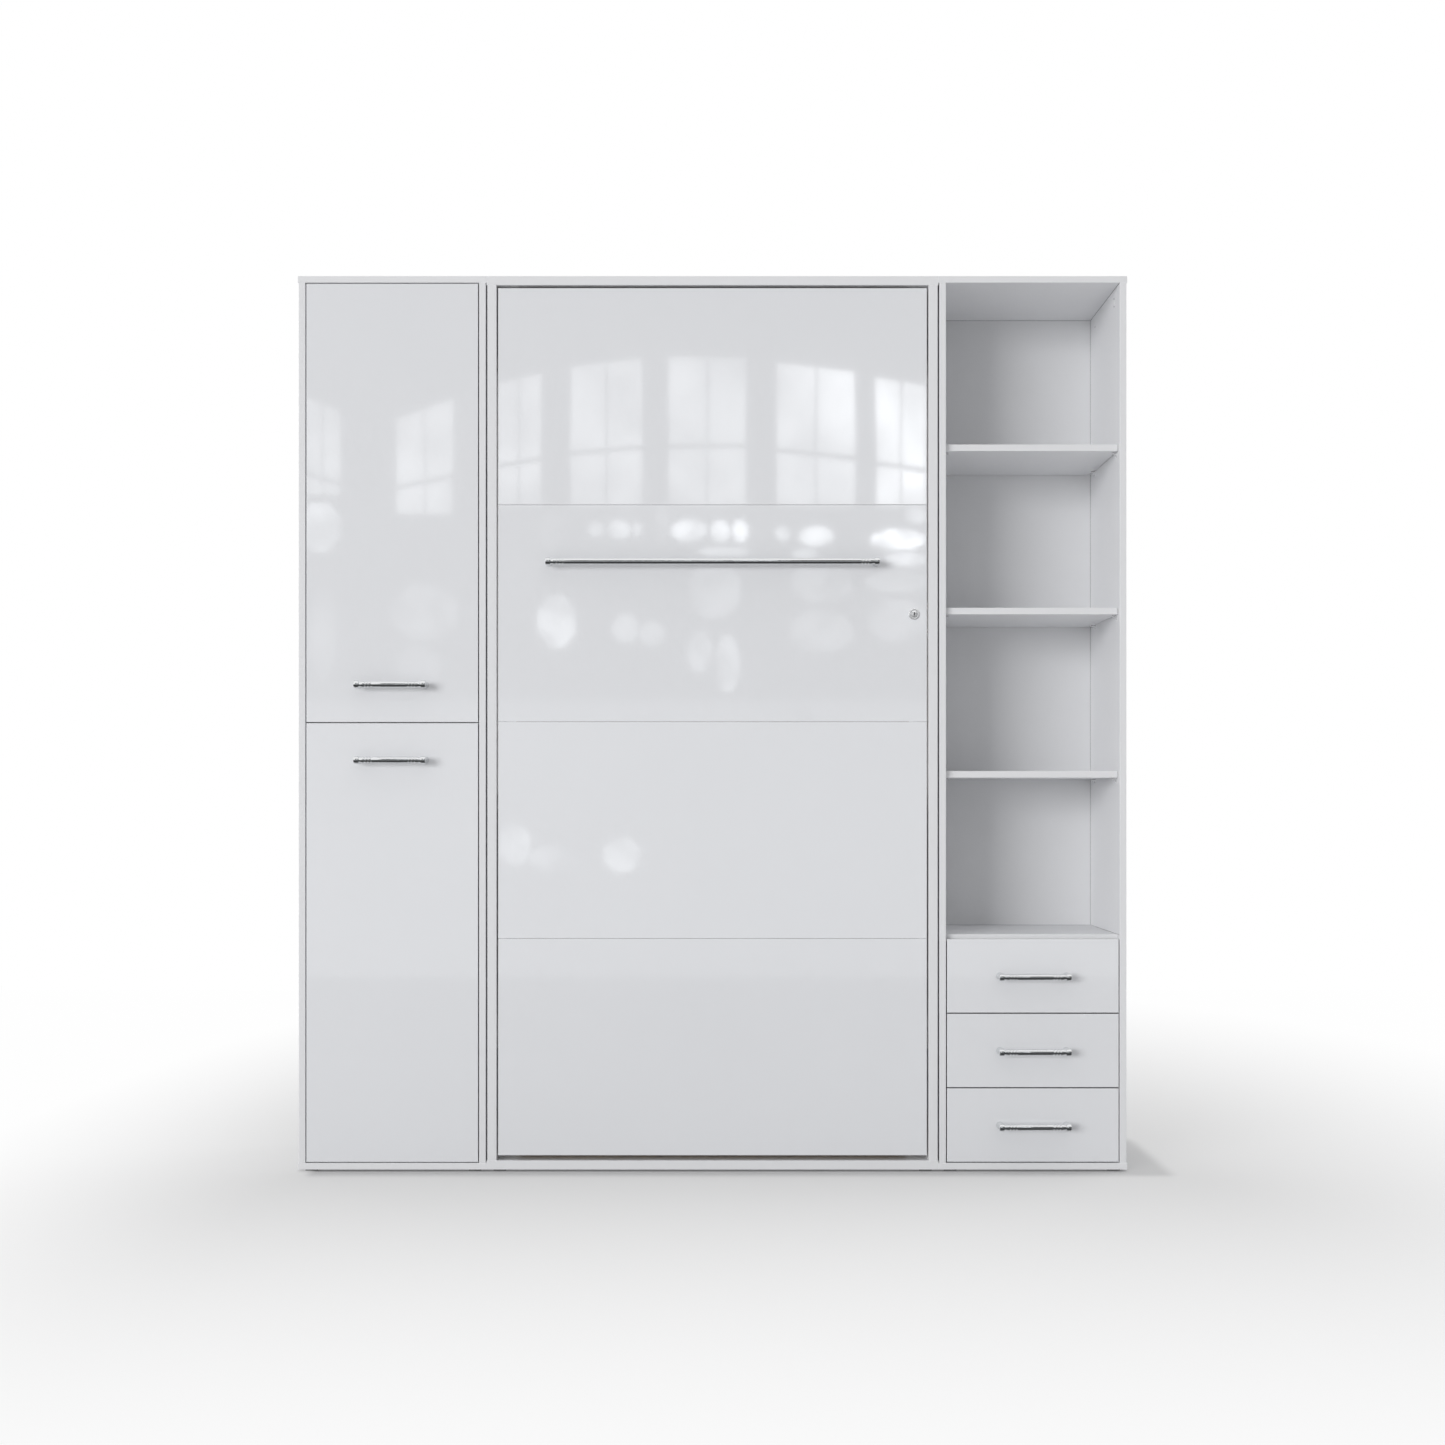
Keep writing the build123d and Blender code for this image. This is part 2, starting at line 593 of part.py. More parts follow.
def pivot_lever():
    """The right lever plate on the rail, with the pivot bush and the hole of the gas spring."""
    rounds = [
        Pos(PIVOT_DEPTH, PIVOT_HEIGHT) * Circle(LEVER_PIVOT_ROUND),
        Pos(SPRING_FOOT_DEPTH, SPRING_FOOT_HEIGHT) * Circle(LEVER_SPRING_ROUND),
        Pos(PIVOT_DEPTH, LEVER_TAIL_HEIGHT) * Circle(LEVER_TAIL_ROUND),
    ]
    outline = make_hull([edge for one in rounds for edge in one.edges()])
    lever = extrude(side_plane(RAIL_OUTSIDE) * outline, LEVER_THICKNESS)
    start = at(RAIL_OUTSIDE, PIVOT_DEPTH, PIVOT_HEIGHT)
    end = at(LEVER_FACE + BUSH_LENGTH, PIVOT_DEPTH, PIVOT_HEIGHT)
    lever += round_bar(start, end, BUSH_RADIUS)
    lever -= round_bar(start, end, AXLE_RADIUS + AXLE_PLAY)
    foot_in = at(RAIL_OUTSIDE, SPRING_FOOT_DEPTH, SPRING_FOOT_HEIGHT)
    foot_out = at(LEVER_FACE, SPRING_FOOT_DEPTH, SPRING_FOOT_HEIGHT)
    return lever - round_bar(foot_in, foot_out, STUD_RADIUS + STUD_PLAY)


def spring_plane():
    """The plane at the right gas spring's upper eye, with its own +Z along the spring to the foot."""
    top = at(SPRING_X, SPRING_TOP_DEPTH, SPRING_TOP_HEIGHT)
    foot = at(SPRING_X, SPRING_FOOT_DEPTH, SPRING_FOOT_HEIGHT)
    return Plane(origin=top, x_dir=(1, 0, 0), z_dir=foot - top), (foot - top).length


def eye(width):
    """An eye whose hole lies along X."""
    return Rot(0, 90, 0) * Cylinder(EYE_RADIUS, width)


def gas_cylinder():
    """The right gas spring's cylinder, with its upper eye and the bore for the rod."""
    plane, _ = spring_plane()
    tube = Pos(0, 0, CYLINDER_START) * Cylinder(
        CYLINDER_RADIUS, CYLINDER_END - CYLINDER_START, align=FROM_BASE
    )
    neck = Cylinder(EYE_NECK_RADIUS, CYLINDER_START, align=FROM_BASE)
    bore = Pos(0, 0, CYLINDER_BORE_START) * Cylinder(
        ROD_RADIUS + ROD_PLAY, CYLINDER_END - CYLINDER_BORE_START, align=FROM_BASE
    )
    stud_hole = Rot(0, 90, 0) * Cylinder(STUD_RADIUS + STUD_PLAY, 2 * EYE_WIDTH)
    return plane * (tube + neck + eye(EYE_WIDTH) - bore - stud_hole)


def gas_rod():
    """The right gas spring's rod, with its lower eye and a pin towards the lever plate."""
    plane, length = spring_plane()
    rod = Pos(0, 0, ROD_START) * Cylinder(ROD_RADIUS, length - ROD_START, align=FROM_BASE)
    pin_length = SPRING_X - LEVER_FACE - ROD_PIN_GAP
    pin = Rot(0, -90, 0) * Cylinder(STUD_RADIUS, pin_length, align=FROM_BASE)
    return plane * (rod + Pos(0, 0, length) * (eye(EYE_WIDTH) + pin))


def spring_anchor():
    """The right gas spring's bracket on the case side, with its headed stud."""
    face = BED_INSIDE - ANCHOR_PLATE
    half_depth, half_height = ANCHOR_HALF
    anchor = block(
        (face, BED_INSIDE),
        (SPRING_TOP_DEPTH - half_depth, SPRING_TOP_DEPTH + half_depth),
        (SPRING_TOP_HEIGHT - half_height, SPRING_TOP_HEIGHT + half_height),
    )
    head = SPRING_X - EYE_WIDTH / 2 - STUD_HEAD_GAP
    plate_end = at(face, SPRING_TOP_DEPTH, SPRING_TOP_HEIGHT)
    head_start = at(head, SPRING_TOP_DEPTH, SPRING_TOP_HEIGHT)
    head_end = at(head - STUD_HEAD, SPRING_TOP_DEPTH, SPRING_TOP_HEIGHT)
    anchor += round_bar(plate_end, head_start, STUD_RADIUS)
    return anchor + round_bar(head_start, head_end, STUD_HEAD_RADIUS)


def front_board(index):
    """One of the boards of the bed front, counted from the bottom."""
    base = LEAF_BOTTOM + index * (BOARD_HEIGHT + BOARD_GAP)
    across = (-LEAF_HALF_WIDTH, LEAF_HALF_WIDTH)
    board = eased(block(across, (0, FRONT_THICKNESS), (base, base + BOARD_HEIGHT)), BOARD_EASE)
    if base < LOCK_HEIGHT < base + BOARD_HEIGHT:
        front = at(LOCK_X, 0, LOCK_HEIGHT)
        back = at(LOCK_X, FRONT_THICKNESS, LOCK_HEIGHT)
        board -= round_bar(front, back, LOCK_BODY_RADIUS)
    return board


def side_rail():
    """The right rail of the leaf, with its back edge rounded and the hole of the foot bow."""
    rail = block((RAIL_INSIDE, RAIL_OUTSIDE), RAIL_DEPTHS, RAIL_ENDS)
    rear_edges = rail.faces().sort_by(Axis.Y)[-1].edges().filter_by(Axis.Z)
    rail = fillet(rear_edges, RAIL_ROUND)
    inner = at(RAIL_INSIDE, BOW_PIVOT_DEPTH, BOW_PIVOT_HEIGHT)
    outer = at(RAIL_OUTSIDE, BOW_PIVOT_DEPTH, BOW_PIVOT_HEIGHT)
    return rail - round_bar(inner, outer, BOW_PIN_RADIUS + BOW_PIN_PLAY)


def end_rails():
    """The head and foot rails of the leaf."""
    across = (-RAIL_INSIDE, RAIL_INSIDE)
    low, high = RAIL_ENDS
    return [
        block(across, RAIL_DEPTHS, (low, low + RAIL_THICKNESS)),
        block(across, RAIL_DEPTHS, (high - RAIL_THICKNESS, high)),
    ]


def cross_battens():
    """Battens that hold the front boards together behind each joint."""
    across = (-RAIL_INSIDE, RAIL_INSIDE)
    depths = (FRONT_THICKNESS, FRONT_THICKNESS + BATTEN_THICKNESS)
    joints = [LEAF_BOTTOM + step * (BOARD_HEIGHT + BOARD_GAP) for step in range(1, BOARD_COUNT)]
    return [block(across, depths, (z - BATTEN_HALF_HEIGHT, z + BATTEN_HALF_HEIGHT)) for z in joints]


def slat_heights():
    """Middle heights of the slats."""
    low, high = SLAT_ENDS
    return [low + (high - low) * step / (SLAT_COUNT - 1) for step in range(SLAT_COUNT)]


def slat(height):
    """A bent slat, crowned towards the mattress."""
    ends = [(side * SLAT_HALF_LENGTH, FRONT_Y + SLAT_DEPTH) for side in (-1, 1)]
    crown = (0, FRONT_Y + SLAT_DEPTH + SLAT_CROWN)
    lower = ThreePointArc(ends[0], crown, ends[1])
    upper = Pos(0, SLAT_THICKNESS) * lower
    closing = [Line(lower @ 1, upper @ 1), Line(upper @ 0, lower @ 0)]
    section = make_face([lower, upper] + closing)
    return extrude(Pos(0, 0, height - SLAT_WIDTH / 2) * section, SLAT_WIDTH, dir=(0, 0, 1))


def slat_holders():
    """Plastic holders on the rails, open towards the slat's end."""
    holders = []
    half_pocket = SLAT_WIDTH / 2 + HOLDER_PLAY
    pocket_depths = (SLAT_DEPTH - HOLDER_PLAY, SLAT_DEPTH + SLAT_THICKNESS + 2 * HOLDER_PLAY)
    pocket_x = (RAIL_INSIDE - 2 * HOLDER_LENGTH, SLAT_HALF_LENGTH + HOLDER_PLAY)
    for height in slat_heights():
        half = half_pocket + HOLDER_MARGIN
        body_x = (RAIL_INSIDE - HOLDER_LENGTH, RAIL_INSIDE)
        body = block(body_x, HOLDER_DEPTHS, (height - half, height + half))
        pocket = block(pocket_x, pocket_depths, (height - half_pocket, height + half_pocket))
        holders += both_sides(body - pocket)
    return holders


def mattress():
    """The mattress, with rounded corners and soft edges."""
    width, thickness, length = MATTRESS_SIZE
    middle = at(0, MATTRESS_DEPTH, MATTRESS_BASE + length / 2)
    base = Plane(origin=middle, x_dir=(1, 0, 0), z_dir=(0, 1, 0))
    slab = extrude(base * RectangleRounded(width, length, MATTRESS_CORNER), thickness)
    faces = slab.faces().sort_by(Axis.Y)
    return chamfer(faces[0].edges() + faces[-1].edges(), MATTRESS_EDGE)


def lock_case():
    """The lock's round escutcheon and its body through the board."""
    front = at(LOCK_X, 0, LOCK_HEIGHT)
    face = at(LOCK_X, -ESCUTCHEON_HEIGHT, LOCK_HEIGHT)
    end = at(LOCK_X, LOCK_BODY_END, LOCK_HEIGHT)
    escutcheon = round_bar(front, face, ESCUTCHEON_RADIUS)
    rim = escutcheon.faces().sort_by(Axis.Y)[0].edges()
    case = chamfer(rim, ESCUTCHEON_HEIGHT / 2) + round_bar(front, end, LOCK_BODY_RADIUS)
    return case - round_bar(face, end, PLUG_RADIUS + PLUG_PLAY)


def lock_plug():
    """The lock's plug with an upright keyway, and the cam that hangs from its rear end."""
    face = at(LOCK_X, -PLUG_PROUD, LOCK_HEIGHT)
    cam_front, cam_back = CAM_DEPTHS
    plug = round_bar(face, at(LOCK_X, cam_back, LOCK_HEIGHT), PLUG_RADIUS)
    plug += block(
        (LOCK_X - CAM_HALF_WIDTH, LOCK_X + CAM_HALF_WIDTH),
        CAM_DEPTHS,
        (LOCK_HEIGHT - CAM_LENGTH, LOCK_HEIGHT),
    )
    keyway_x, keyway_z = (size / 2 for size in KEYWAY_SIZE)
    return plug - block(
        (LOCK_X - keyway_x, LOCK_X + keyway_x),
        (-PLUG_PROUD, KEYWAY_DEPTH - PLUG_PROUD),
        (LOCK_HEIGHT - keyway_z, LOCK_HEIGHT + keyway_z),
    )


def foot_bow():
    """Two cranked plates on pins in the side rails, joined by a bar across the foot end."""
    pivot = Pos(BOW_PIVOT_DEPTH, BOW_PIVOT_HEIGHT) * Circle(BOW_ARM_ROUND)
    elbow = Pos(BOW_PIVOT_DEPTH, BOW_BAR_HEIGHT) * Circle(BOW_ARM_ROUND)
    tip = Pos(BOW_BAR_DEPTH, BOW_BAR_HEIGHT) * Circle(BOW_BAR_RADIUS)
    crank = make_hull(pivot.edges() + elbow.edges()) + make_hull(elbow.edges() + tip.edges())
    arm = extrude(side_plane(BOW_ARM_X) * crank, BOW_ARM_THICKNESS)
    arm += round_bar(
        at(BOW_ARM_X, BOW_PIVOT_DEPTH, BOW_PIVOT_HEIGHT),
        at(RAIL_INSIDE, BOW_PIVOT_DEPTH, BOW_PIVOT_HEIGHT),
        BOW_PIN_RADIUS,
    )
    left_end = at(-BOW_ARM_X, BOW_BAR_DEPTH, BOW_BAR_HEIGHT)
    right_end = at(BOW_ARM_X, BOW_BAR_DEPTH, BOW_BAR_HEIGHT)
    return both_sides(arm) + [round_bar(left_end, right_end, BOW_BAR_RADIUS)]


# Every node, by name
nodes = {}
for side, name in ((-1, "left_cabinet"), (1, "right_cabinet")):
    for board_name, board in cabinet(side).items():
        nodes[f"{name}_{board_name}"] = board
middle_top = DOOR_SPLIT + CABINET_BOARD / 2
nodes["left_cabinet_middle_shelf"] = fixed_shelf(-1, middle_top, DOOR_SHELF_SETBACK)
nodes["left_cabinet_loose_shelves"] = loose_shelves(-1, LEFT_SHELF_TOPS, DOOR_SHELF_SETBACK)
nodes["right_cabinet_drawer_shelf"] = fixed_shelf(1, DRAWER_SHELF_TOP, DRAWER_SHELF_SETBACK)
nodes["right_cabinet_loose_shelves"] = loose_shelves(1, RIGHT_SHELF_TOPS, SHELF_SETBACK)
nodes["shelf_pins"] = shelf_pins()
nodes["glide_feet"] = glide_feet()

door_spans = {
    "lower_door": (CABINET_FLOOR + FRONT_GAP, DOOR_SPLIT - FRONT_GAP / 2),
    "upper_door": (DOOR_SPLIT + FRONT_GAP / 2, CABINET_CEILING - FRONT_GAP),
}
handle_heights = {
    "lower_door": DOOR_SPLIT - DOOR_HANDLE_OFFSET,
    "upper_door": DOOR_SPLIT + DOOR_HANDLE_OFFSET,
}
nodes["door_hinge_arms"] = []
for name, z_span in door_spans.items():
    nodes[name] = door(z_span)
    nodes[f"{name}_handle"] = handle(-CABINET_MIDDLE, handle_heights[name], HANDLE_LENGTH)
    nodes[f"{name}_hinge_cups"] = [hinge_cup(height) for height in hinge_heights(z_span)]
    nodes["door_hinge_arms"] += [hinge_arm(height) for height in hinge_heights(z_span)]

nodes["cabinet_runners"] = cabinet_runners()
for index, name in enumerate(DRAWER_NAMES):
    nodes[f"{name}_front"] = drawer_front(index)
    nodes[f"{name}_box"] = drawer_box(index)
    middle = drawer_base(index) + DRAWER_FRONT_HEIGHT / 2
    nodes[f"{name}_handle"] = handle(CABINET_MIDDLE, middle, HANDLE_LENGTH)

nodes["bed_case_left_side"] = bed_case_side(-1)
nodes["bed_case_right_side"] = bed_case_side(1) - strike_seat()
nodes["bed_case_top"] = bed_case_cap((BED_CEILING, UNIT_HEIGHT))
nodes["bed_case_bottom"] = bed_case_cap((GLIDE_HEIGHT, BED_FLOOR))
nodes["bed_case_back_rails"] = back_rails()
nodes["lock_strike"] = lock_strike()
nodes["pivot_plates"] = both_sides(pivot_plate())
nodes["gas_spring_anchors"] = both_sides(spring_anchor())

for index in range(BOARD_COUNT):
    nodes[f"front_board_{index + 1}"] = front_board(index)
nodes["bed_handle"] = handle(0, BED_HANDLE_HEIGHT, BED_HANDLE_LENGTH)
nodes["lock_case"] = lock_case()
nodes["lock_plug"] = lock_plug()
nodes["bed_side_rails"] = both_sides(side_rail())
nodes["bed_end_rails"] = end_rails()
nodes["cross_battens"] = cross_battens()
nodes["slats"] = [slat(height) for height in slat_heights()]
nodes["slat_holders"] = slat_holders()
nodes["mattress"] = mattress()
nodes["pivot_levers"] = both_sides(pivot_lever())
nodes["foot_bow"] = foot_bow()
for name, piece in (("cylinder", gas_cylinder()), ("rod", gas_rod())):
    left_piece, right_piece = both_sides(piece)
    nodes[f"gas_spring_{name}_left"] = left_piece
    nodes[f"gas_spring_{name}_right"] = right_piece

for name, shape in nodes.items():
    solids = shape if isinstance(shape, list) else [shape]
    export_step(Compound([solid for piece in solids for solid in piece.solids()]), f"parts/{name}.step")
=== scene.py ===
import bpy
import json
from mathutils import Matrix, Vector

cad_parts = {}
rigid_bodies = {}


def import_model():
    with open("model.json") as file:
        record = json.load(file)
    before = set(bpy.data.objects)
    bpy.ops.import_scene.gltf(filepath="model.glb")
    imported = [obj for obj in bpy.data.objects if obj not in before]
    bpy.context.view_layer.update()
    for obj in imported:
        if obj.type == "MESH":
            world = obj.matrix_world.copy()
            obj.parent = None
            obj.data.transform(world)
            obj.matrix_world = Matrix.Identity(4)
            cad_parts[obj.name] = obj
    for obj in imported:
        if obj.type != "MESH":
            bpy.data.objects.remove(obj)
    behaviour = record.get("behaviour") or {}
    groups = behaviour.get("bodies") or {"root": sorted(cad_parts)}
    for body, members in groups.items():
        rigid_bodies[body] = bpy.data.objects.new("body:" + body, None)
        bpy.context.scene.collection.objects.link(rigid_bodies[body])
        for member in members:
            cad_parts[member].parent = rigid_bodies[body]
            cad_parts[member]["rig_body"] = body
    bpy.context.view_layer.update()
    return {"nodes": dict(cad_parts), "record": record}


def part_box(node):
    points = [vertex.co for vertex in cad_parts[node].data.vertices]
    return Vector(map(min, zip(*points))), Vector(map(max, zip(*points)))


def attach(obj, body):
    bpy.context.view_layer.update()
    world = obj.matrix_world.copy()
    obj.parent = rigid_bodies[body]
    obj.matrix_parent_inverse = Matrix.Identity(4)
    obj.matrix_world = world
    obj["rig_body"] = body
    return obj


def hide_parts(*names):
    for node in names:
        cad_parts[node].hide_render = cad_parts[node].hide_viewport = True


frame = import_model()

import json
import math

import bmesh
import bpy
from bpy.props import FloatProperty, FloatVectorProperty, IntProperty, PointerProperty
from mathutils import Matrix, Vector

bl_info = {
    "name": "Wall bed finishes",
    "version": (1, 0, 0),
    "blender": (4, 5, 0),
    "location": "3D View > Sidebar > Wall bed",
    "description": "Finishes and fine hardware of a wall bed that folds down between two cabinets",
    "category": "Object",
}

X_AXIS = Vector((1, 0, 0))
Y_AXIS = Vector((0, 1, 0))
Z_AXIS = Vector((0, 0, 1))
FRONT_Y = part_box("front_board_1")[0].y
MERGE_DISTANCE = 1e-6
SMOOTH_ANGLE = math.radians(32)


# Settings that a user would change


def length_setting(name, description, default):
    """A setting for a size."""
    return FloatProperty(name=name, description=description, default=default, unit="LENGTH")


def power_setting(name, description, default):
    """A setting for the power of a lamp."""
    return FloatProperty(name=name, description=description, default=default, unit="POWER")


def level_setting(name, description, default):
    """A setting for a plain number."""
    return FloatProperty(name=name, description=description, default=default)


def count_setting(name, description, default):
    """A setting for how many there are of something."""
    return IntProperty(name=name, description=description, default=default)


def colour_setting(name, description, default):
    """A setting for a colour."""
    return FloatVectorProperty(name=name, description=description, default=default, subtype="COLOR")


class StageSettings(bpy.types.PropertyGroup):
    """Camera, light and floor."""

    eye: FloatVectorProperty(
        name="Camera place", description="Where the camera stands",
        default=(0.024, -4.369, 0.899), subtype="TRANSLATION", unit="LENGTH",
    )
    lens: FloatProperty(name="Lens", description="Focal length of the camera", default=43.54, unit="CAMERA")
    rise: level_setting("Rise", "Upward shift of the picture frame", 0.0529)
    sky: level_setting("Sky light", "Level of the soft light from above", 0.86)
    horizon: level_setting("Side light", "Level of the soft light from all sides", 0.25)
    key_power: power_setting("Key lamp", "Power of the large soft lamp", 3900.0)
    left_power: power_setting("Left back lamp", "Power of the lamp behind on the left", 85.0)
    right_power: power_setting("Right back lamp", "Power of the lamp behind on the right", 165.0)
    floor: colour_setting("Floor", "Colour of the floor", (0.84, 0.84, 0.845))


class FinishSettings(bpy.types.PropertyGroup):
    """Colours of the finishes."""

    lacquer: colour_setting("Lacquer", "High-gloss lacquer of the fronts", (0.80, 0.81, 0.834))
    melamine: colour_setting("Melamine", "Satin coat of the boards", (0.85, 0.855, 0.872))
    hardboard: colour_setting("Hardboard", "Coated backs of the cabinets", (0.765, 0.77, 0.785))
    drawer: colour_setting("Drawer board", "Foil on the drawer boxes", (0.77, 0.77, 0.765))
    satin: colour_setting("Satin chrome", "Lock and shelf supports", (0.90, 0.905, 0.915))
    nickel: colour_setting("Nickel", "Plated hinges", (0.75, 0.745, 0.725))
    zinc: colour_setting("Zinc", "Plated sheet steel of runners and pivots", (0.60, 0.61, 0.625))
    rod: colour_setting("Ground rod", "Rods of the gas springs", (0.66, 0.67, 0.68))
    powder: colour_setting("Grey powder coat", "Foot bow", (0.30, 0.305, 0.315))
    spruce: colour_setting("Spruce", "Rails and battens of the leaf", (0.70, 0.50, 0.29))
    ticking: colour_setting("Ticking", "Knit cover of the mattress", (0.80, 0.79, 0.765))
    tape: colour_setting("Tape", "Piped edges of the mattress", (0.50, 0.55, 0.61))


class HardwareSettings(bpy.types.PropertyGroup):
    """Sizes of the turned hardware."""

    bar_radius: length_setting("Bar radius", "Radius of a handle's bar", 0.008)
    cap_radius: length_setting("Cap radius", "Radius of a handle's end cap", 0.0095)
    cap_length: length_setting("Cap length", "Length of a handle's end cap", 0.012)
    groove_start: length_setting("First groove", "Middle of the first ring groove, from the end", 0.0265)
    groove_pitch: length_setting("Groove pitch", "Distance between ring grooves", 0.0075)
    groove_width: length_setting("Groove width", "Width of a ring groove", 0.0036)
    groove_depth: length_setting("Groove depth", "Depth of a ring groove", 0.0014)
    groove_count: count_setting("Grooves", "Ring grooves at each end of a bar", 3)
    screw_radius: length_setting("Screw radius", "Radius of a small screw head", 0.0035)


class MattressSettings(bpy.types.PropertyGroup):
    """Quilting of the mattress."""

    cells_across: count_setting("Cells across", "Cells of the cover across the mattress", 56)
    cells_along: count_setting("Cells along", "Cells of the cover along the mattress", 126)
    quilt_cells: count_setting("Quilt cells", "Cells from one quilted line to the next", 7)
    border_rows: count_setting("Border rows", "Rows of cells in the side border", 9)
    border_quilt: count_setting("Border lines", "Rows from one sewn line of the border to the next", 3)
    corner: length_setting("Corner", "Radius of the mattress corners", 0.045)
    swell: length_setting("Swell", "Most that the filling lifts the cover", 0.010)
    pressure: level_setting("Filling", "Pressure of the filling under the cover", 10.0)
    slack: level_setting("Slack", "Share by which the cover is cut larger than it lies", 0.03)
    piping: length_setting("Piping", "Radius of the piped edge", 0.0035)


class WallBedSettings(bpy.types.PropertyGroup):
    """All settings of the wall bed."""

    stage: PointerProperty(type=StageSettings)
    finishes: PointerProperty(type=FinishSettings)
    hardware: PointerProperty(type=HardwareSettings)
    mattress: PointerProperty(type=MattressSettings)


def settings():
    """The wall bed's settings in this scene."""
    return bpy.context.scene.wall_bed


# Finishes

# Numbers of the colour sockets on a Mix node.
MIX_FACTOR = 0
MIX_COLOURS = (6, 7)
MIX_RESULT = 2
KNOT_COLOUR = (0.26, 0.13, 0.06)
LOOP_COLOUR = (0.62, 0.66, 0.71)  # between the loops of the knit cover
COVER_COLOURS = ((0.80, 0.80, 0.80), (0.84, 0.84, 0.845))
# Near-black colours of the painted shade in holes, keyways and hairline gaps.
PAINTED_SHADE_COLOURS = ((0.012, 0.012, 0.013), (0.03, 0.03, 0.032))


class Nodes:
    """A tree of shader nodes, with the plain ways to add to it."""

    def __init__(self, tree):
        self.tree = tree

    def feed(self, node, socket, value):
        """A link or a plain value into a node's socket, by name or number."""
        target = node.inputs[socket]
        if isinstance(value, bpy.types.NodeSocket):
            self.tree.links.new(value, target)
        else:
            target.default_value = value

    def node(self, kind, sockets, **values):
        """The outputs of a new node, with values for its settings and what goes into its sockets."""
        made = self.tree.nodes.new(kind)
        for key, value in values.items():
            setattr(made, key, value)
        for socket, value in sockets.items():
            self.feed(made, socket, value)
        return made.outputs

    def math(self, operation, first, second=0.0, third=0.0):
        """One sum on two or three values."""
        return self.node("ShaderNodeMath", {0: first, 1: second, 2: third}, operation=operation)["Value"]

    def parts(self, vector):
        """The X, Y and Z of a vector, by name."""
        return self.node("ShaderNodeSeparateXYZ", {"Vector": vector})

    def range(self, value, low, high, start=0.0, end=1.0, ends="SMOOTHSTEP"):
        """A value brought from one range to another, with soft ends."""
        sockets = {"Value": value, "From Min": start, "From Max": end, "To Min": low, "To Max": high}
        return self.node("ShaderNodeMapRange", sockets, interpolation_type=ends)["Result"]

    def mixed(self, factor, first, second):
        """Two colours mixed by a factor."""
        sockets = {MIX_FACTOR: factor}
        for socket, part in zip(MIX_COLOURS, (first, second)):
            sockets[socket] = part if isinstance(part, bpy.types.NodeSocket) else (*part, 1.0)
        return self.node("ShaderNodeMix", sockets, data_type="RGBA")[MIX_RESULT]

    def seen(self):
        """One for rays that see the stage as a picture: from the camera, a mirror or glass."""
        path = self.node("ShaderNodeLightPath", {})
        straight = self.math("MAXIMUM", path["Is Camera Ray"], path["Is Glossy Ray"])
        return self.math("MAXIMUM", straight, path["Is Transmission Ray"])

    def mixed_shaders(self, factor, first, second):
        """Two shaders mixed by a factor."""
        return self.node("ShaderNodeMixShader", {0: factor, 1: first, 2: second})[0]


class Finish(Nodes):
    """A node material built up from a Principled shader, one layer of detail at a time."""

    def __init__(self, name):
        self.material = bpy.data.materials.new(name)
        self.material.use_nodes = True
        super().__init__(self.material.node_tree)
        self.shader = self.tree.nodes["Principled BSDF"]
        coordinates = self.node("ShaderNodeTexCoord", {})
        self.place = coordinates["Object"]
        self.facing = coordinates["Normal"]
        self.normal = None

    def set(self, socket, value):
        """A link or an even value on the shader's own socket."""
        self.feed(self.shader, socket, value)

    def stretched(self, scale, turn=(0, 0, 0)):
        """Object coordinates, scaled and turned."""
        sockets = {"Vector": self.place, "Rotation": turn, "Scale": scale}
        return self.node("ShaderNodeMapping", sockets)["Vector"]

    def noise(self, scale, detail=2.0, stretch=(1, 1, 1), distortion=0.0):
        """Soft cloudy variation."""
        sockets = {"Scale": scale, "Detail": detail, "Distortion": distortion}
        return self.node("ShaderNodeTexNoise", {"Vector": self.stretched(stretch), **sockets})["Fac"]

    def cells(self, scale, stretch=(1, 1, 1)):
        """Distance to scattered points."""
        sockets = {"Vector": self.stretched(stretch), "Scale": scale}
        return self.node("ShaderNodeTexVoronoi", sockets, feature="F1")["Distance"]

    def bands(self, scale, direction, distortion=0.0, turn=(0, 0, 0)):
        """Even waves across one axis."""
        sockets = {"Vector": self.stretched((1, 1, 1), turn), "Scale": scale, "Distortion": distortion}
        return self.node("ShaderNodeTexWave", sockets, wave_type="BANDS", bands_direction=direction)["Fac"]

    def colour(self, source):
        """A varied colour for the surface."""
        self.set("Base Color", source)

    def tone(self, factor, base, low, high):
        """A colour that varies between two shades of a base."""
        self.colour(self.mixed(factor, shaded(base, low), shaded(base, high)))

    def gloss(self, factor, low, high):
        """A varied roughness."""
        self.set("Roughness", self.range(factor, low, high))

    def relief(self, height, depth):
        """Bump of a depth in metres, on top of any bump before it."""
        sockets = {"Strength": 1.0, "Distance": depth, "Height": height}
        if self.normal:
            sockets["Normal"] = self.normal
        self.normal = self.node("ShaderNodeBump", sockets)["Normal"]
        self.set("Normal", self.normal)

    def even(self, texture, base, tones, glosses, depth):
        """Colour, gloss and bump that all follow one texture."""
        self.tone(texture, base, *tones)
        self.gloss(texture, *glosses)
        self.relief(texture, depth)

    def surface(self, shader):
        """Put another shader in the place of the Principled one."""
        self.tree.nodes.remove(self.shader)
        self.feed(self.tree.nodes["Material Output"], "Surface", shader)
        return self.material


def shaded(colour, factor):
    """A colour made darker or lighter."""
    return tuple(min(1.0, part * factor) for part in colour)


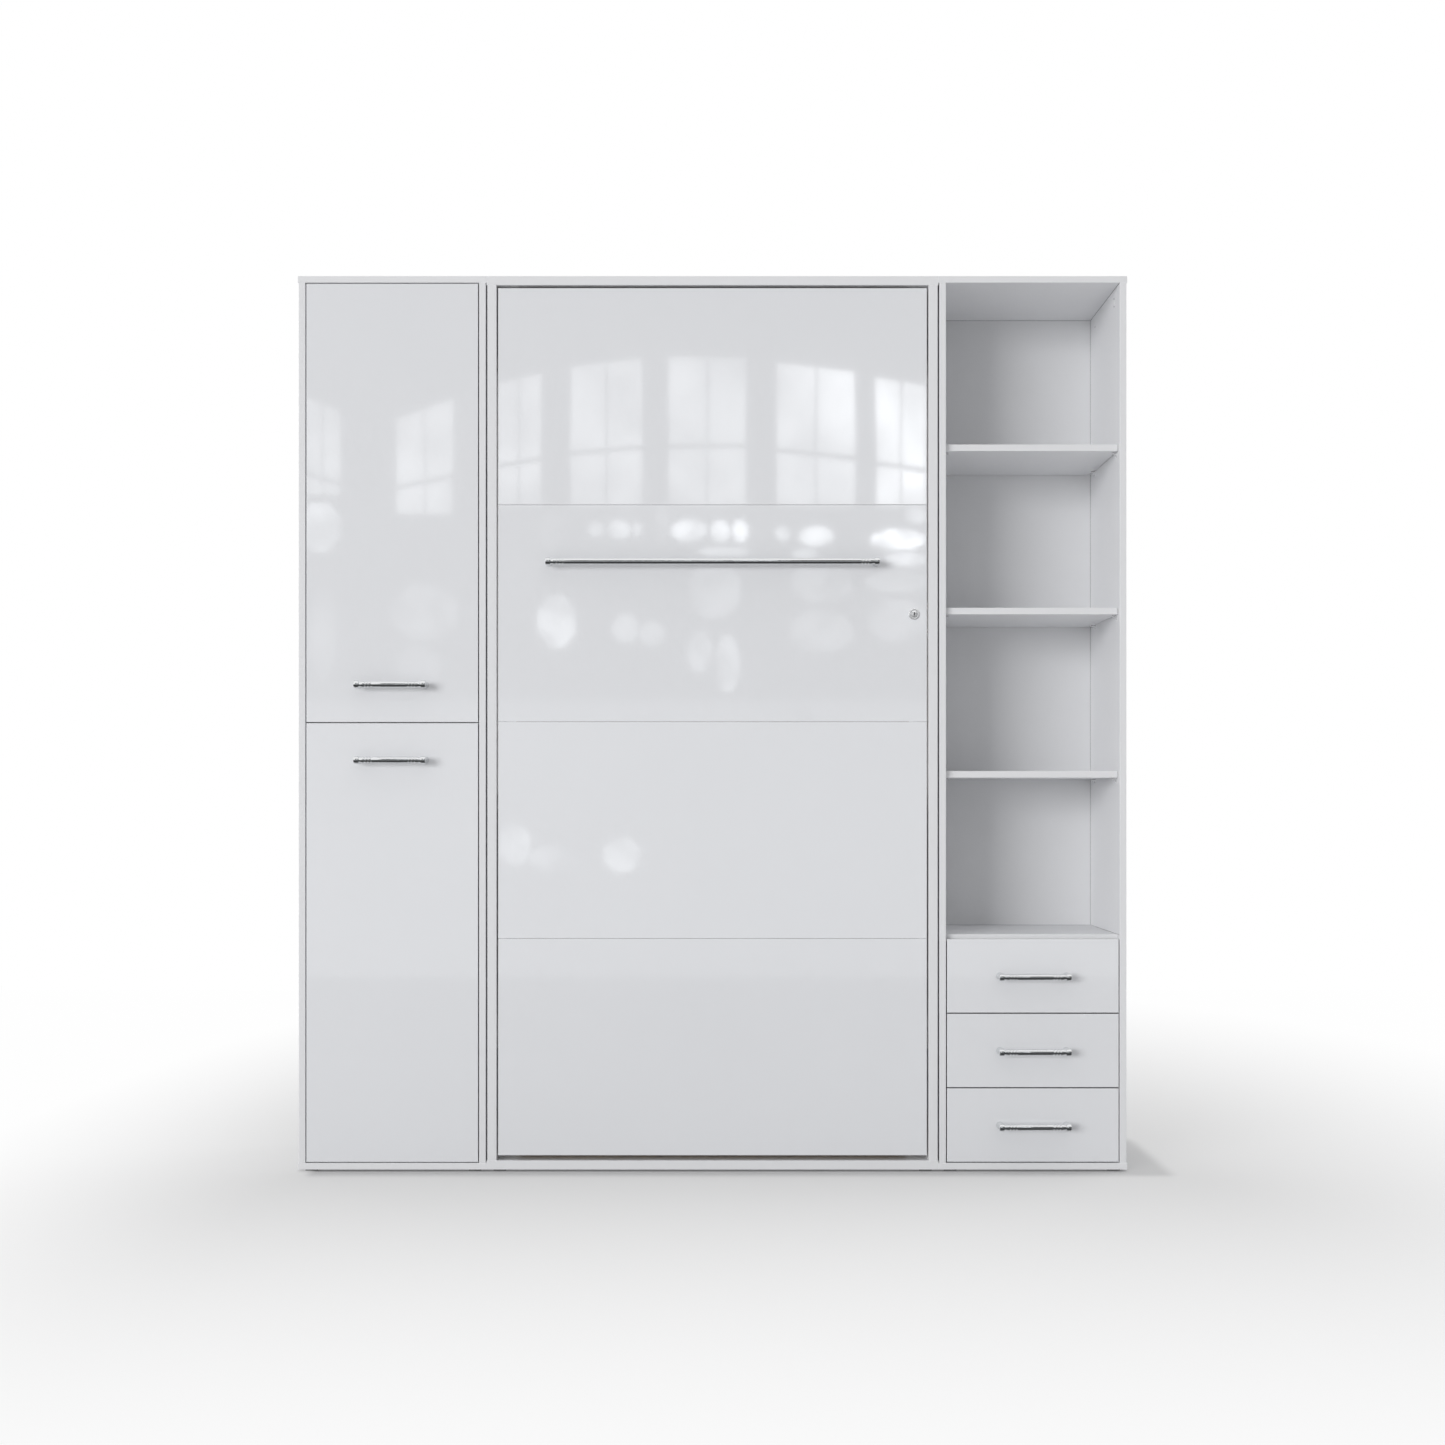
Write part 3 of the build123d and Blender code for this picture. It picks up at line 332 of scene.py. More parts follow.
def lacquer(finish):
    """White lacquer under a polished clear coat: flat, with a long soft wave and a trace of orange peel."""
    base = settings().finishes.lacquer
    finish.tone(finish.noise(3.0, 3.0), base, 0.985, 1.012)
    finish.gloss(finish.noise(11.0, 4.0), 0.03, 0.055)
    finish.relief(finish.noise(4.0, 1.0), 0.00010)
    finish.relief(finish.noise(190.0, 1.0), 0.0000012)
    finish.set("IOR", 1.5)
    finish.set("Coat Weight", 1.0)
    finish.set("Coat Roughness", 0.03)
    finish.set("Coat Normal", finish.normal)


def melamine(finish):
    """Satin white melamine with a fine pearl; the edge bands that face the front are a shade deeper."""
    base = settings().finishes.melamine
    cloud = finish.noise(6.0, 4.0)
    face = finish.mixed(cloud, shaded(base, 0.985), shaded(base, 1.01))
    band = finish.range(finish.parts(finish.facing)["Y"], 1.0, 0.0, -0.95, -0.6)
    finish.colour(finish.mixed(band, face, shaded(base, 0.895)))
    finish.gloss(finish.noise(60.0, 3.0), 0.32, 0.44)
    finish.relief(finish.noise(900.0, 2.0), 0.00002)


def hardboard(finish):
    """Thin coated board with a faint press texture."""
    base = settings().finishes.hardboard
    finish.tone(finish.noise(9.0, 5.0), base, 0.975, 1.01)
    finish.gloss(finish.noise(40.0, 3.0), 0.44, 0.56)
    finish.relief(finish.cells(420.0), 0.00003)


def drawer_foil(finish):
    """Foil-wrapped board with a faint linen weave."""
    base = settings().finishes.drawer
    across = finish.bands(260.0, "X", 0.6)
    upward = finish.bands(260.0, "Z", 0.6)
    weave = finish.math("MULTIPLY", across, upward)
    finish.tone(weave, base, 0.965, 1.01)
    finish.gloss(finish.noise(30.0, 3.0), 0.40, 0.52)
    finish.relief(weave, 0.00002)


def satin_chrome(finish):
    """Chrome of the lock and the shelf supports, softened by a fine blast."""
    finish.set("Metallic", 0.62)
    blast = finish.noise(800.0, 3.0)
    finish.even(blast, settings().finishes.satin, (0.96, 1.03), (0.14, 0.26), 0.000004)


def nickel(finish):
    """Satin nickel plate, with fine tumbled marks."""
    finish.set("Metallic", 0.8)
    marks = finish.noise(900.0, 3.0, (1, 1, 0.2))
    finish.even(marks, settings().finishes.nickel, (0.92, 1.04), (0.18, 0.32), 0.000008)


def zinc(finish):
    """Zinc-plated sheet with a faint spangle and a cool and a warm tint."""
    base = settings().finishes.zinc
    finish.set("Metallic", 0.85)
    spangle = finish.cells(170.0)
    warm = (base[0] * 1.04, base[1] * 1.0, base[2] * 0.93)
    tint = finish.mixed(finish.noise(25.0, 2.0), base, warm)
    finish.colour(finish.mixed(finish.range(spangle, 0.0, 0.35), tint, shaded(base, 0.8)))
    finish.gloss(finish.noise(120.0, 3.0), 0.28, 0.46)
    finish.relief(spangle, 0.00001)


def ground_rod(finish):
    """Ground and polished rod, with fine rings from the wheel."""
    finish.set("Metallic", 1.0)
    rings = finish.noise(30.0, 3.0, (1, 1, 60))
    finish.even(rings, settings().finishes.rod, (0.93, 1.03), (0.08, 0.18), 0.000002)


def powder_coat(finish):
    """Grey powder coat with its fine pebble."""
    pebble = finish.noise(650.0, 2.0)
    finish.even(pebble, settings().finishes.powder, (0.93, 1.06), (0.36, 0.50), 0.00004)


def along_grain(axis, across, along):
    """Texture scale that runs long along one axis."""
    return tuple(along if part == axis else across for part in "XYZ")


def softwood(finish, axis):
    """Planed spruce: growth lines and a few darker knots, along one axis."""
    base = settings().finishes.spruce
    drift = finish.noise(1.0, 3.0, along_grain(axis, 16.0, 1.6))
    lines = finish.noise(1.0, 5.0, along_grain(axis, 130.0, 2.2), 0.6)
    growth = finish.range(lines, 0.0, 1.0, 0.42, 0.66)
    wood = finish.mixed(growth, shaded(base, 1.12), shaded(base, 0.80))
    wood = finish.mixed(finish.range(drift, 0.0, 0.35), wood, shaded(base, 0.72))
    knots = finish.cells(1.0, along_grain(axis, 14.0, 5.0))
    finish.colour(finish.mixed(finish.range(knots, 0.75, 0.0, 0.05, 0.17), wood, KNOT_COLOUR))
    finish.gloss(lines, 0.48, 0.64)
    finish.relief(lines, 0.00012)


def spruce_upright(finish):
    """Spruce with its grain along the leaf."""
    softwood(finish, "Z")


def spruce_across(finish):
    """Spruce with its grain across the leaf."""
    softwood(finish, "X")


def distance_from_quilting(finish):
    """Cells from the nearest quilted line, over the two faces of the mattress; large on its border."""
    mattress = settings().mattress
    low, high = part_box("mattress")
    place = finish.parts(finish.place)
    counts = []
    for axis, cells in (("X", mattress.cells_across), ("Z", mattress.cells_along)):
        index = "XYZ".index(axis)
        start = low[index] + mattress.swell
        per_metre = cells / (high[index] - low[index] - 2 * mattress.swell)
        counts.append(finish.math("MULTIPLY_ADD", place[axis], per_metre, -start * per_metre))
    half = mattress.quilt_cells / 2
    rising = finish.math("PINGPONG", finish.math("ADD", *counts), half)
    falling = finish.math("PINGPONG", finish.math("SUBTRACT", *counts), half)
    square = finish.math("ABSOLUTE", finish.parts(finish.facing)["Y"])
    border = finish.range(square, half, 0.0, 0.55, 0.8)
    return finish.math("ADD", finish.math("MINIMUM", rising, falling), border)


def ticking(finish):
    """Knit mattress cover: small diamonds of loops with a soft sheen, drawn in along the quilted lines and
    darkened there by the stitched line and painted shade in the creases.
    """
    base = settings().finishes.ticking
    eighth = (0, math.pi / 4, 0)
    rising = finish.bands(75.0, "X", turn=eighth)
    falling = finish.bands(75.0, "Z", turn=eighth)
    loops = finish.math("MULTIPLY", rising, falling)
    slub = finish.noise(1.0, 4.0, (300.0, 300.0, 60.0))
    yarn = finish.mixed(slub, shaded(base, 0.93), shaded(base, 1.04))
    cloth = finish.mixed(finish.range(loops, 0.4, 0.0, 0.05, 0.5), yarn, LOOP_COLOUR)
    quilting = distance_from_quilting(finish)
    # Painted shade in the quilted creases, with the stitched line: the cover darkens towards half its colour
    # near each quilted line.
    finish.colour(finish.mixed(finish.range(quilting, 0.62, 0.0, 0.0, 0.34), cloth, shaded(base, 0.5)))
    finish.gloss(slub, 0.78, 0.92)
    finish.relief(finish.range(quilting, 0.0, 1.0, 0.0, 0.9), 0.003)
    finish.relief(loops, 0.00045)
    finish.relief(slub, 0.00012)
    finish.set("Sheen Weight", 0.25)
    finish.set("Sheen Roughness", 0.45)


def piping_cloth(finish):
    """Woven tape over the piped edges of the mattress."""
    finish.set("Sheen Weight", 0.15)
    twill = finish.bands(330.0, "DIAGONAL", 0.3)
    finish.even(twill, settings().finishes.tape, (0.82, 1.08), (0.66, 0.82), 0.00015)


def white_plastic(finish):
    """Moulded white plastic of the small covers."""
    finish.colour(finish.mixed(finish.noise(60.0, 2.0), *COVER_COLOURS))
    finish.gloss(finish.noise(300.0, 2.0), 0.28, 0.42)
    finish.relief(finish.noise(700.0, 2.0), 0.00001)


def painted_recess_shade(finish):
    """Near-black finish that paints the shade inside a hole, a keyway or a hairline gap."""
    finish.colour(finish.mixed(finish.noise(300.0, 2.0), *PAINTED_SHADE_COLOURS))
    finish.gloss(finish.noise(200.0, 2.0), 0.5, 0.7)


# Slots that aren't here keep the plain material of the pack.
SLOT_FINISHES = {
    "white_gloss": lacquer,
    "white_melamine": melamine,
    "white_hardboard": hardboard,
    "drawer_board": drawer_foil,
    "nickel_steel": nickel,
    "zinc_steel": zinc,
    "polished_rod": ground_rod,
    "grey_enamel": powder_coat,
    "spruce": spruce_across,
    "mattress_ticking": ticking,
}
NODE_FINISHES = {"bed_side_rails": spruce_upright, "lock_plug": satin_chrome}


def finish_material(maker):
    """The material of a finish, made once."""
    name = maker.__name__
    if name not in bpy.data.materials:
        maker(Finish(name))
    return bpy.data.materials[name]


def slot_material(slot):
    """The material of a slot: its finish, or the plain material of the pack."""
    maker = SLOT_FINISHES.get(slot)
    return finish_material(maker) if maker else bpy.data.materials[slot]


# Shapes


def turn(bm, profile, start, axis, steps, ring=False):
    """Spin a profile of (distance along the axis, radius) pairs; a ring's profile is closed."""
    axis = Vector(axis)
    side = axis.orthogonal().normalized()
    verts = [bm.verts.new(Vector(start) + axis * along + side * radius) for along, radius in profile]
    edges = [bm.edges.new(pair) for pair in zip(verts, verts[1:])]
    if ring:
        edges.append(bm.edges.new((verts[-1], verts[0])))
    bmesh.ops.spin(
        bm, geom=verts + edges, cent=start, axis=axis, angle=math.tau, steps=steps,
        use_merge=True, use_duplicate=False,
    )


def turn_oval(bm, profile, middle, axis, steps, stretch):
    """Spin a profile and stretch the turned shape upwards about its middle."""
    before = set(bm.verts)
    turn(bm, profile, middle, axis, steps)
    made = [vert for vert in bm.verts if vert not in before]
    bmesh.ops.scale(bm, vec=(1, 1, stretch), space=Matrix.Translation(-middle), verts=made)


def only(kind, parts):
    """The parts of one kind among the results of a bmesh operator."""
    return [part for part in parts if isinstance(part, kind)]


def new_object(name, bm, material):
    """Make a bmesh into an object of the scene."""
    mesh = bpy.data.meshes.new(name)
    bm.to_mesh(mesh)
    bm.free()
    mesh.materials.append(material)
    made = bpy.data.objects.new(name, mesh)
    bpy.context.scene.collection.objects.link(made)
    return made


def make_piece(name, bm, body, material, nodes=()):
    """Make a bmesh into a piece that rides on a body, takes a slot and stands for CAD nodes."""
    bmesh.ops.remove_doubles(bm, verts=bm.verts, dist=MERGE_DISTANCE)
    bmesh.ops.recalc_face_normals(bm, faces=bm.faces)
    piece = new_object(name, bm, material)
    piece.data.shade_smooth()
    piece.data.set_sharp_from_angle(angle=SMOOTH_ANGLE)
    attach(piece, body)
    if nodes:
        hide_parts(*nodes)


def body_of_node(node):
    """The body that carries a CAD node."""
    return frame["nodes"][node]["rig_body"]


# Handles


CAP_EDGE = 0.12  # rounding of a cap's edges, as a share of its radius
# Distance from the cap's outer or inner end and from its rim, in roundings.
CAP_FRONT = ((0, 1.6), (0.4, 0.5), (1.4, 0))
CAP_BACK = ((-1.2, 0), (-0.3, 0.4), (0, 1.2))
NECK = ((0.0004, 0.80), (0.002, 0.82), (0.005, 0.90), (0.009, 1.0))  # distance past the cap, share of the bar
# Distance from a groove's middle in half widths, and share of its depth.
GROOVE = ((-1.08, 0), (-0.95, 0.05), (-0.16, 0.97), (0, 1), (0.16, 0.97), (0.95, 0.05), (1.08, 0))


def handle_profile(half, hardware):
    """Half a handle's profile, from its end to its middle: cap, neck, flare and ring grooves."""
    cap = hardware.cap_radius
    bar = hardware.bar_radius
    root = hardware.cap_length
    edge = cap * CAP_EDGE
    profile = [(0, 0)]
    profile += [(along * edge, cap - inside * edge) for along, inside in CAP_FRONT]
    profile += [(root + along * edge, cap - inside * edge) for along, inside in CAP_BACK]
    profile += [(root + along, bar * share) for along, share in NECK]
    for groove in range(hardware.groove_count):
        middle = hardware.groove_start + groove * hardware.groove_pitch
        for along, share in GROOVE:
            profile.append((middle + along * hardware.groove_width / 2, bar - share * hardware.groove_depth))
    return profile + [(half, bar)]


POST_FOOT_REACH = 0.003  # how far a post's foot stands past the bar's end
POST_PROFILE = (
    (0, 0), (0, 0.009), (0.0012, 0.0089), (0.004, 0.0074), (0.009, 0.0061), (0.016, 0.0055),
    (0.0245, 0.0055), (0.0245, 0),
)


class WALLBED_OT_handles(bpy.types.Operator):
    """Turn the chrome bar handles, with their caps, ring grooves and flared posts"""

    bl_idname = "wallbed.handles"
    bl_label = "Handles"

    def execute(self, context):
        hardware = settings().hardware
        material = slot_material("chrome")
        for node in sorted(frame["nodes"]):
            if not node.endswith("_handle"):
                continue
            low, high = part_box(node)
            half = (high.x - low.x) / 2 - POST_FOOT_REACH
            height = (low.z + high.z) / 2
            middle = (low.x + high.x) / 2
            bar_y = low.y + hardware.cap_radius
            bm = bmesh.new()
            for end in (-1, 1):
                tip = Vector((middle - end * half, bar_y, height))
                turn(bm, handle_profile(half, hardware), tip, X_AXIS * end, steps=40)
                foot = Vector((middle - end * (half - hardware.cap_length / 2), FRONT_Y, height))
                turn(bm, POST_PROFILE, foot, -Y_AXIS, steps=28)
            make_piece(f"turned_{node}", bm, body_of_node(node), material, [node])
        return {"FINISHED"}


# Lock

ROSE_PROFILE = (
    (0, 0.0140), (0.0008, 0.0139), (0.0016, 0.01355), (0.0022, 0.0131), (0.0027, 0.01245),
    (0.0030, 0.0117), (0.0031, 0.0109), (0.0030, 0.0101), (0.0027, 0.00935), (0.0022, 0.0087),
    (0.0016, 0.00825), (0.0011, 0.00795), (0.0011, 0.00756), (-0.024, 0.00756), (-0.024, 0.010), (0, 0.010),
)
PLUG_FACE_PROFILE = (
    (0.0039, 0), (0.0039, 0.0074), (0.0041, 0.00745), (0.00459, 0.0060), (0.00499, 0.0045),
    (0.00528, 0.0030), (0.00544, 0.0015), (0.0055, 0),
)
KEYWAY_HALF = (0.0012, 0.0039)  # half the keyway's width and height
KEYWAY_SHADE_THICKNESS = 0.0004  # thickness of the near-black floor of the keyway, which paints its shade
KEYWAY_SHADE_PLACE = Vector((0, -0.0015, 0))  # of that floor, from the plane of the fronts
KEYWAY_EDGE = 0.0001


class WALLBED_OT_lock(bpy.types.Operator):
    """Turn the rounded rose and the domed plug face of the key lock, and paint the shade in its keyway with a
    near-black floor
    """

    bl_idname = "wallbed.lock"
    bl_label = "Lock"

    def execute(self, context):
        low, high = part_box("lock_case")
        centre = Vector(((low.x + high.x) / 2, FRONT_Y, (low.z + high.z) / 2))
        bm = bmesh.new()
        turn(bm, ROSE_PROFILE, centre, -Y_AXIS, steps=48, ring=True)
        make_piece("lock_rose", bm, "bed_leaf", finish_material(satin_chrome), ["lock_case"])
        # Painted shade: a near-black floor set into the keyway.
        slot = bmesh.new()
        bmesh.ops.create_cube(slot, size=1.0)
        half_x, half_z = KEYWAY_HALF
        bmesh.ops.scale(slot, vec=(2 * half_x, KEYWAY_SHADE_THICKNESS, 2 * half_z), verts=slot.verts)
        bmesh.ops.bevel(
            slot, geom=slot.edges[:], offset=KEYWAY_EDGE,
            affect="EDGES", segments=1, profile=0.5, material=-1,
        )
        bmesh.ops.translate(slot, vec=centre + KEYWAY_SHADE_PLACE, verts=slot.verts)
        make_piece("keyway", slot, "lock_plug", finish_material(painted_recess_shade))
        self.plug_face(centre)
        return {"FINISHED"}

    def plug_face(self, centre):
        """A domed face on the plug, with the keyway cut through it."""
        bm = bmesh.new()
        turn(bm, PLUG_FACE_PROFILE, centre, -Y_AXIS, steps=40)
        bmesh.ops.remove_doubles(bm, verts=bm.verts, dist=MERGE_DISTANCE)
        half_x, half_z = KEYWAY_HALF
        for normal, reach in ((X_AXIS, half_x), (-X_AXIS, half_x), (Z_AXIS, half_z), (-Z_AXIS, half_z)):
            everything = bm.verts[:] + bm.edges[:] + bm.faces[:]
            bmesh.ops.bisect_plane(bm, geom=everything, plane_co=centre + normal * reach, plane_no=normal)
        cut = []
        for face in bm.faces:
            step = face.calc_center_median() - centre
            if abs(step.x) < half_x and abs(step.z) < half_z:
                cut.append(face)
        bmesh.ops.delete(bm, geom=cut, context="FACES")
        bmesh.ops.bridge_loops(bm, edges=[edge for edge in bm.edges if edge.is_boundary])
        make_piece("plug_face", bm, "lock_plug", finish_material(satin_chrome))


# Shelf supports

SUPPORT_Y = (FRONT_Y + 0.038, FRONT_Y + 0.280)
FLANGE_DROP = 0.0032  # of a flange's middle below its peg
FLANGE_STRETCH = 1.2
LEFT_SUPPORT_HEIGHTS = (0.5295, 1.5985)
RIGHT_SUPPORT_HEIGHTS = (0.948, 1.3435, 1.739)
CABINET_INSIDE = (0.563, 0.982)
PEG_PROFILE = ((0, 0), (0, 0.0025), (0.0093, 0.0025), (0.0101, 0.0021), (0.0105, 0.0013), (0.0105, 0))
FLANGE_PROFILE = ((0, 0), (0, 0.0052), (0.0006, 0.0052), (0.0012, 0.0046), (0.0017, 0.0032), (0.0019, 0))


class WALLBED_OT_shelf_supports(bpy.types.Operator):
    """Put a peg with an oval flange under each corner of the loose shelves"""

    bl_idname = "wallbed.shelf_supports"
    bl_label = "Shelf supports"

    def execute(self, context):
        bm = bmesh.new()
        for side, heights in ((-1, LEFT_SUPPORT_HEIGHTS), (1, RIGHT_SUPPORT_HEIGHTS)):
            for height in heights:
                for y in SUPPORT_Y:
                    for face, out in zip(CABINET_INSIDE, (1, -1)):
                        self.support(bm, Vector((side * face, y, height)), X_AXIS * side * out)
        material = finish_material(satin_chrome)
        make_piece("shelf_supports", bm, "carcass", material, ["shelf_pins"])
        return {"FINISHED"}

    def support(self, bm, seat, out):
        """One peg and its flange."""
        turn(bm, PEG_PROFILE, seat, out, steps=16)
        turn_oval(bm, FLANGE_PROFILE, seat - Z_AXIS * FLANGE_DROP, out, steps=16, stretch=FLANGE_STRETCH)


# Screws and fittings


def behind_front(depth):
    """The y of a depth behind the plane of the fronts."""
    return FRONT_Y + depth


def mirrored(places):
    """Seats on the right and their mirror images on the left."""
    flip = Matrix.Diagonal((-1, 1, 1))
    return places + [(flip @ place, flip @ out) for place, out in places]


def screw_head(bm, place, out, radius, rise):
    """A round head with a recess for the driver."""
    profile = [(0, 0), (0, radius), (rise * 0.5, radius * 0.97), (rise, radius * 0.70)]
    profile += [(rise, radius * 0.44), (rise * 0.3, radius * 0.30), (rise * 0.3, 0)]
    turn(bm, profile, place, out, steps=12)


def bolt_head(bm, place, out, radius, rise):
    """A hexagon head on a washer."""
    turn(bm, [(0, 0), (0, radius * 1.45), (rise * 0.3, radius * 1.45), (rise * 0.3, 0)], place, out, steps=16)
    head = [(rise * 0.3, 0), (rise * 0.3, radius), (rise * 0.92, radius), (rise, radius * 0.86), (rise, 0)]
    turn(bm, head, place, out, steps=6)


HINGE_HEIGHTS = {"lower_door": (0.1235, 0.98175), "upper_door": (1.18425, 2.0415)}
# Two screws at each hinge: x, depth behind the fronts, reach above and below the hinge's middle, way out.
HINGE_PLATE_SCREWS = (-0.979, 0.038, 0.018, X_AXIS)
HINGE_CUP_SCREWS = (-0.957, 0.0192, 0.0245, Y_AXIS)
# Other sets of screws: x, depths behind the fronts, heights, way out.
RUNNER_DEPTHS = (0.055, 0.170, 0.270)
RUNNER_HEIGHTS = (0.0662, 0.246, 0.4258)
LEFT_RUNNER_SCREWS = (0.5642, RUNNER_DEPTHS, RUNNER_HEIGHTS, X_AXIS)
RIGHT_RUNNER_SCREWS = (0.9808, RUNNER_DEPTHS, RUNNER_HEIGHTS, -X_AXIS)
PIVOT_SCREWS = (0.518, (0.030, 0.090), (0.157, 0.283), -X_AXIS)
ANCHOR_SCREWS = (0.518, (0.150,), (0.864, 0.936), -X_AXIS)
LEVER_BOLTS = (0.480, (0.060,), (0.320, 0.398), X_AXIS)
STRIKE_SCREWS = (0.521, (0.026,), (1.3045, 1.3655), -X_AXIS)


def seats(x, depths, heights, out):
    """A seat for a screw at each height and depth."""
    return [(Vector((x, behind_front(depth), height)), out) for height in heights for depth in depths]


def hinge_seats(door, x, depth, reach, out):
    """Seats for two screws at each hinge of a door."""
    heights = [height + rise for height in HINGE_HEIGHTS[door] for rise in (-reach, reach)]
    return seats(x, (depth,), heights, out)


class WALLBED_OT_screws(bpy.types.Operator):
    """Drive the screws and bolts of the hinges, runners, pivots and lock strike"""

    bl_idname = "wallbed.screws"
    bl_label = "Screws"

    def execute(self, context):
        plates = [seat for door in HINGE_HEIGHTS for seat in hinge_seats(door, *HINGE_PLATE_SCREWS)]
        self.group("hinge_plate_screws", "carcass", nickel, plates, share=1.0, rise=0.0016)
        for door in HINGE_HEIGHTS:
            cups = hinge_seats(door, *HINGE_CUP_SCREWS)
            self.group(f"{door}_cup_screws", door, nickel, cups, share=1.0, rise=0.0014)
        runners = seats(*LEFT_RUNNER_SCREWS) + seats(*RIGHT_RUNNER_SCREWS)
        self.group("runner_screws", "carcass", zinc, runners, share=0.9, rise=0.0006)
        pivots = mirrored(seats(*PIVOT_SCREWS) + seats(*ANCHOR_SCREWS))
        self.group("pivot_screws", "carcass", zinc, pivots, share=1.3, rise=0.0004)
        levers = mirrored(seats(*LEVER_BOLTS))
        self.group("lever_bolts", "bed_leaf", zinc, levers, share=1.8, rise=0.0036, head=bolt_head)
        self.group("strike_screws", "carcass", nickel, seats(*STRIKE_SCREWS), share=0.9, rise=0.0005)
        return {"FINISHED"}

    def group(self, name, body, finish, places, share, rise, head=screw_head):
        """One piece with all the heads of a kind, their radius as a share of a small screw's."""
        radius = settings().hardware.screw_radius * share
        bm = bmesh.new()
        for place, out in places:
            head(bm, place, out, radius, rise)
        make_piece(name, bm, body, finish_material(finish))


FITTING_HEIGHT = 2.1127
FITTING_DEPTH = 0.062
FITTING_STRETCH = 1.35
HOLE_REACH = 0.0095  # of the holes above and below a cover's middle
BACK_HOLE_DEPTH = 0.280
FITTING_PROFILE = ((0, 0), (0, 0.0046), (0.0006, 0.0046), (0.0011, 0.0039), (0.0011, 0))
# A near-black disc that paints the shade of a screw hole.
HOLE_SHADE_PROFILE = ((0, 0), (0, 0.0019), (0.0002, 0.0017), (0.0001, 0.0014), (0.0001, 0))


class WALLBED_OT_corner_fittings(bpy.types.Operator):
    """Put the connectors under the tops of the cabinets, with near-black discs that paint the shade of their
    screw holes
    """

    bl_idname = "wallbed.corner_fittings"
    bl_label = "Corner fittings"

    def execute(self, context):
        covers = bmesh.new()
        hole_shades = bmesh.new()
        front_y = behind_front(FITTING_DEPTH)
        back_y = behind_front(BACK_HOLE_DEPTH)
        for side in (-1, 1):
            for face, out in zip(CABINET_INSIDE, (1, -1)):
                inward = X_AXIS * side * out
                middle = Vector((side * face, front_y, FITTING_HEIGHT))
                turn_oval(covers, FITTING_PROFILE, middle, inward, steps=20, stretch=FITTING_STRETCH)
                for rise in (-HOLE_REACH, HOLE_REACH):
                    turn(hole_shades, HOLE_SHADE_PROFILE, middle + Z_AXIS * rise, inward, steps=12)
                turn(hole_shades, HOLE_SHADE_PROFILE, Vector((side * face, back_y, FITTING_HEIGHT)), inward, steps=12)
        make_piece("connector_covers", covers, "carcass", finish_material(white_plastic))
        make_piece("connector_hole_shades", hole_shades, "carcass", finish_material(painted_recess_shade))
        return {"FINISHED"}


JOINT_SHADE_WIDTH = 0.0004  # width of a near-black bead that paints the shade of the hairline gap between two boards
DOOR_ROOM = 0.022  # depth that an inset door takes at the front of its cabinet


class WALLBED_OT_board_joints(bpy.types.Operator):
    """Paint the shade of the hairline gaps between the boards in the inner corners of the cabinets with
    near-black beads
    """

    bl_idname = "wallbed.board_joints"
    bl_label = "Board joints"

    def execute(self, context):
        bm = bmesh.new()
        self.room(bm, "left", "left_cabinet_bottom", "left_cabinet_middle_shelf", DOOR_ROOM)
        self.room(bm, "left", "left_cabinet_middle_shelf", "left_cabinet_top", DOOR_ROOM)
        self.room(bm, "right", "right_cabinet_drawer_shelf", "right_cabinet_top", JOINT_SHADE_WIDTH)
        make_piece("board_joints", bm, "carcass", finish_material(painted_recess_shade))
        return {"FINISHED"}

    def room(self, bm, side, floor_board, roof_board, start):
        """The painted shade of the joints of one compartment, between the board under it and the board over
        it.
        """
        sides = [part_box(f"{side}_cabinet_{place}_side") for place in ("inner", "outer")]
        sides.sort(key=lambda box: box[0].x)
        inset = JOINT_SHADE_WIDTH / 2
        back_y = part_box(f"{side}_cabinet_back")[0].y
        low = Vector((sides[0][1].x + inset, behind_front(start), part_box(floor_board)[1].z + inset))
        high = Vector((sides[1][0].x - inset, back_y - inset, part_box(roof_board)[0].z - inset))
        for x in (low.x, high.x):
            self.joint(bm, Vector((x, high.y, low.z)), Vector((x, high.y, high.z)))
        for z in (low.z, high.z):
            self.joint(bm, Vector((low.x, high.y, z)), Vector((high.x, high.y, z)))
            for x in (low.x, high.x):
                self.joint(bm, Vector((x, low.y, z)), Vector((x, high.y, z)))

    def joint(self, bm, start, end):
        """One near-black bead along a corner, painted shade of a hairline gap."""
        size = [max(abs(step), JOINT_SHADE_WIDTH) for step in end - start]
        place = Matrix.Translation((start + end) / 2) @ Matrix.Diagonal((*size, 1.0))
        bmesh.ops.create_cube(bm, size=1.0, matrix=place)


SPRING_X = 0.498
SPRING_TOP = Vector((0, behind_front(0.150), 0.900))
SPRING_DOWN = Vector((0, -0.0762, -0.9971)).normalized()
CYLINDER_LENGTH = 0.537
GUIDE_PROFILE = (
    (-0.009, 0.0143), (0.0, 0.0143), (0.0018, 0.0132), (0.0026, 0.0115), (0.0026, 0.0063), (-0.009, 0.0063),
)


class WALLBED_OT_gas_springs(bpy.types.Operator):
    """Close the rod end of each gas spring with its guide and seal"""

    bl_idname = "wallbed.gas_springs"
    bl_label = "Gas springs"

    def execute(self, context):
        for side, name in ((-1, "left"), (1, "right")):
            end = SPRING_TOP + X_AXIS * SPRING_X * side + SPRING_DOWN * CYLINDER_LENGTH
            bm = bmesh.new()
            turn(bm, GUIDE_PROFILE, end, SPRING_DOWN, steps=32, ring=True)
            body = f"gas_spring_cylinder_{name}"
            make_piece(f"rod_guide_{name}", bm, body, slot_material("black_plastic"))
        return {"FINISHED"}


# Mattress

FILL_FRAMES = 20  # steps of the filling's simulation


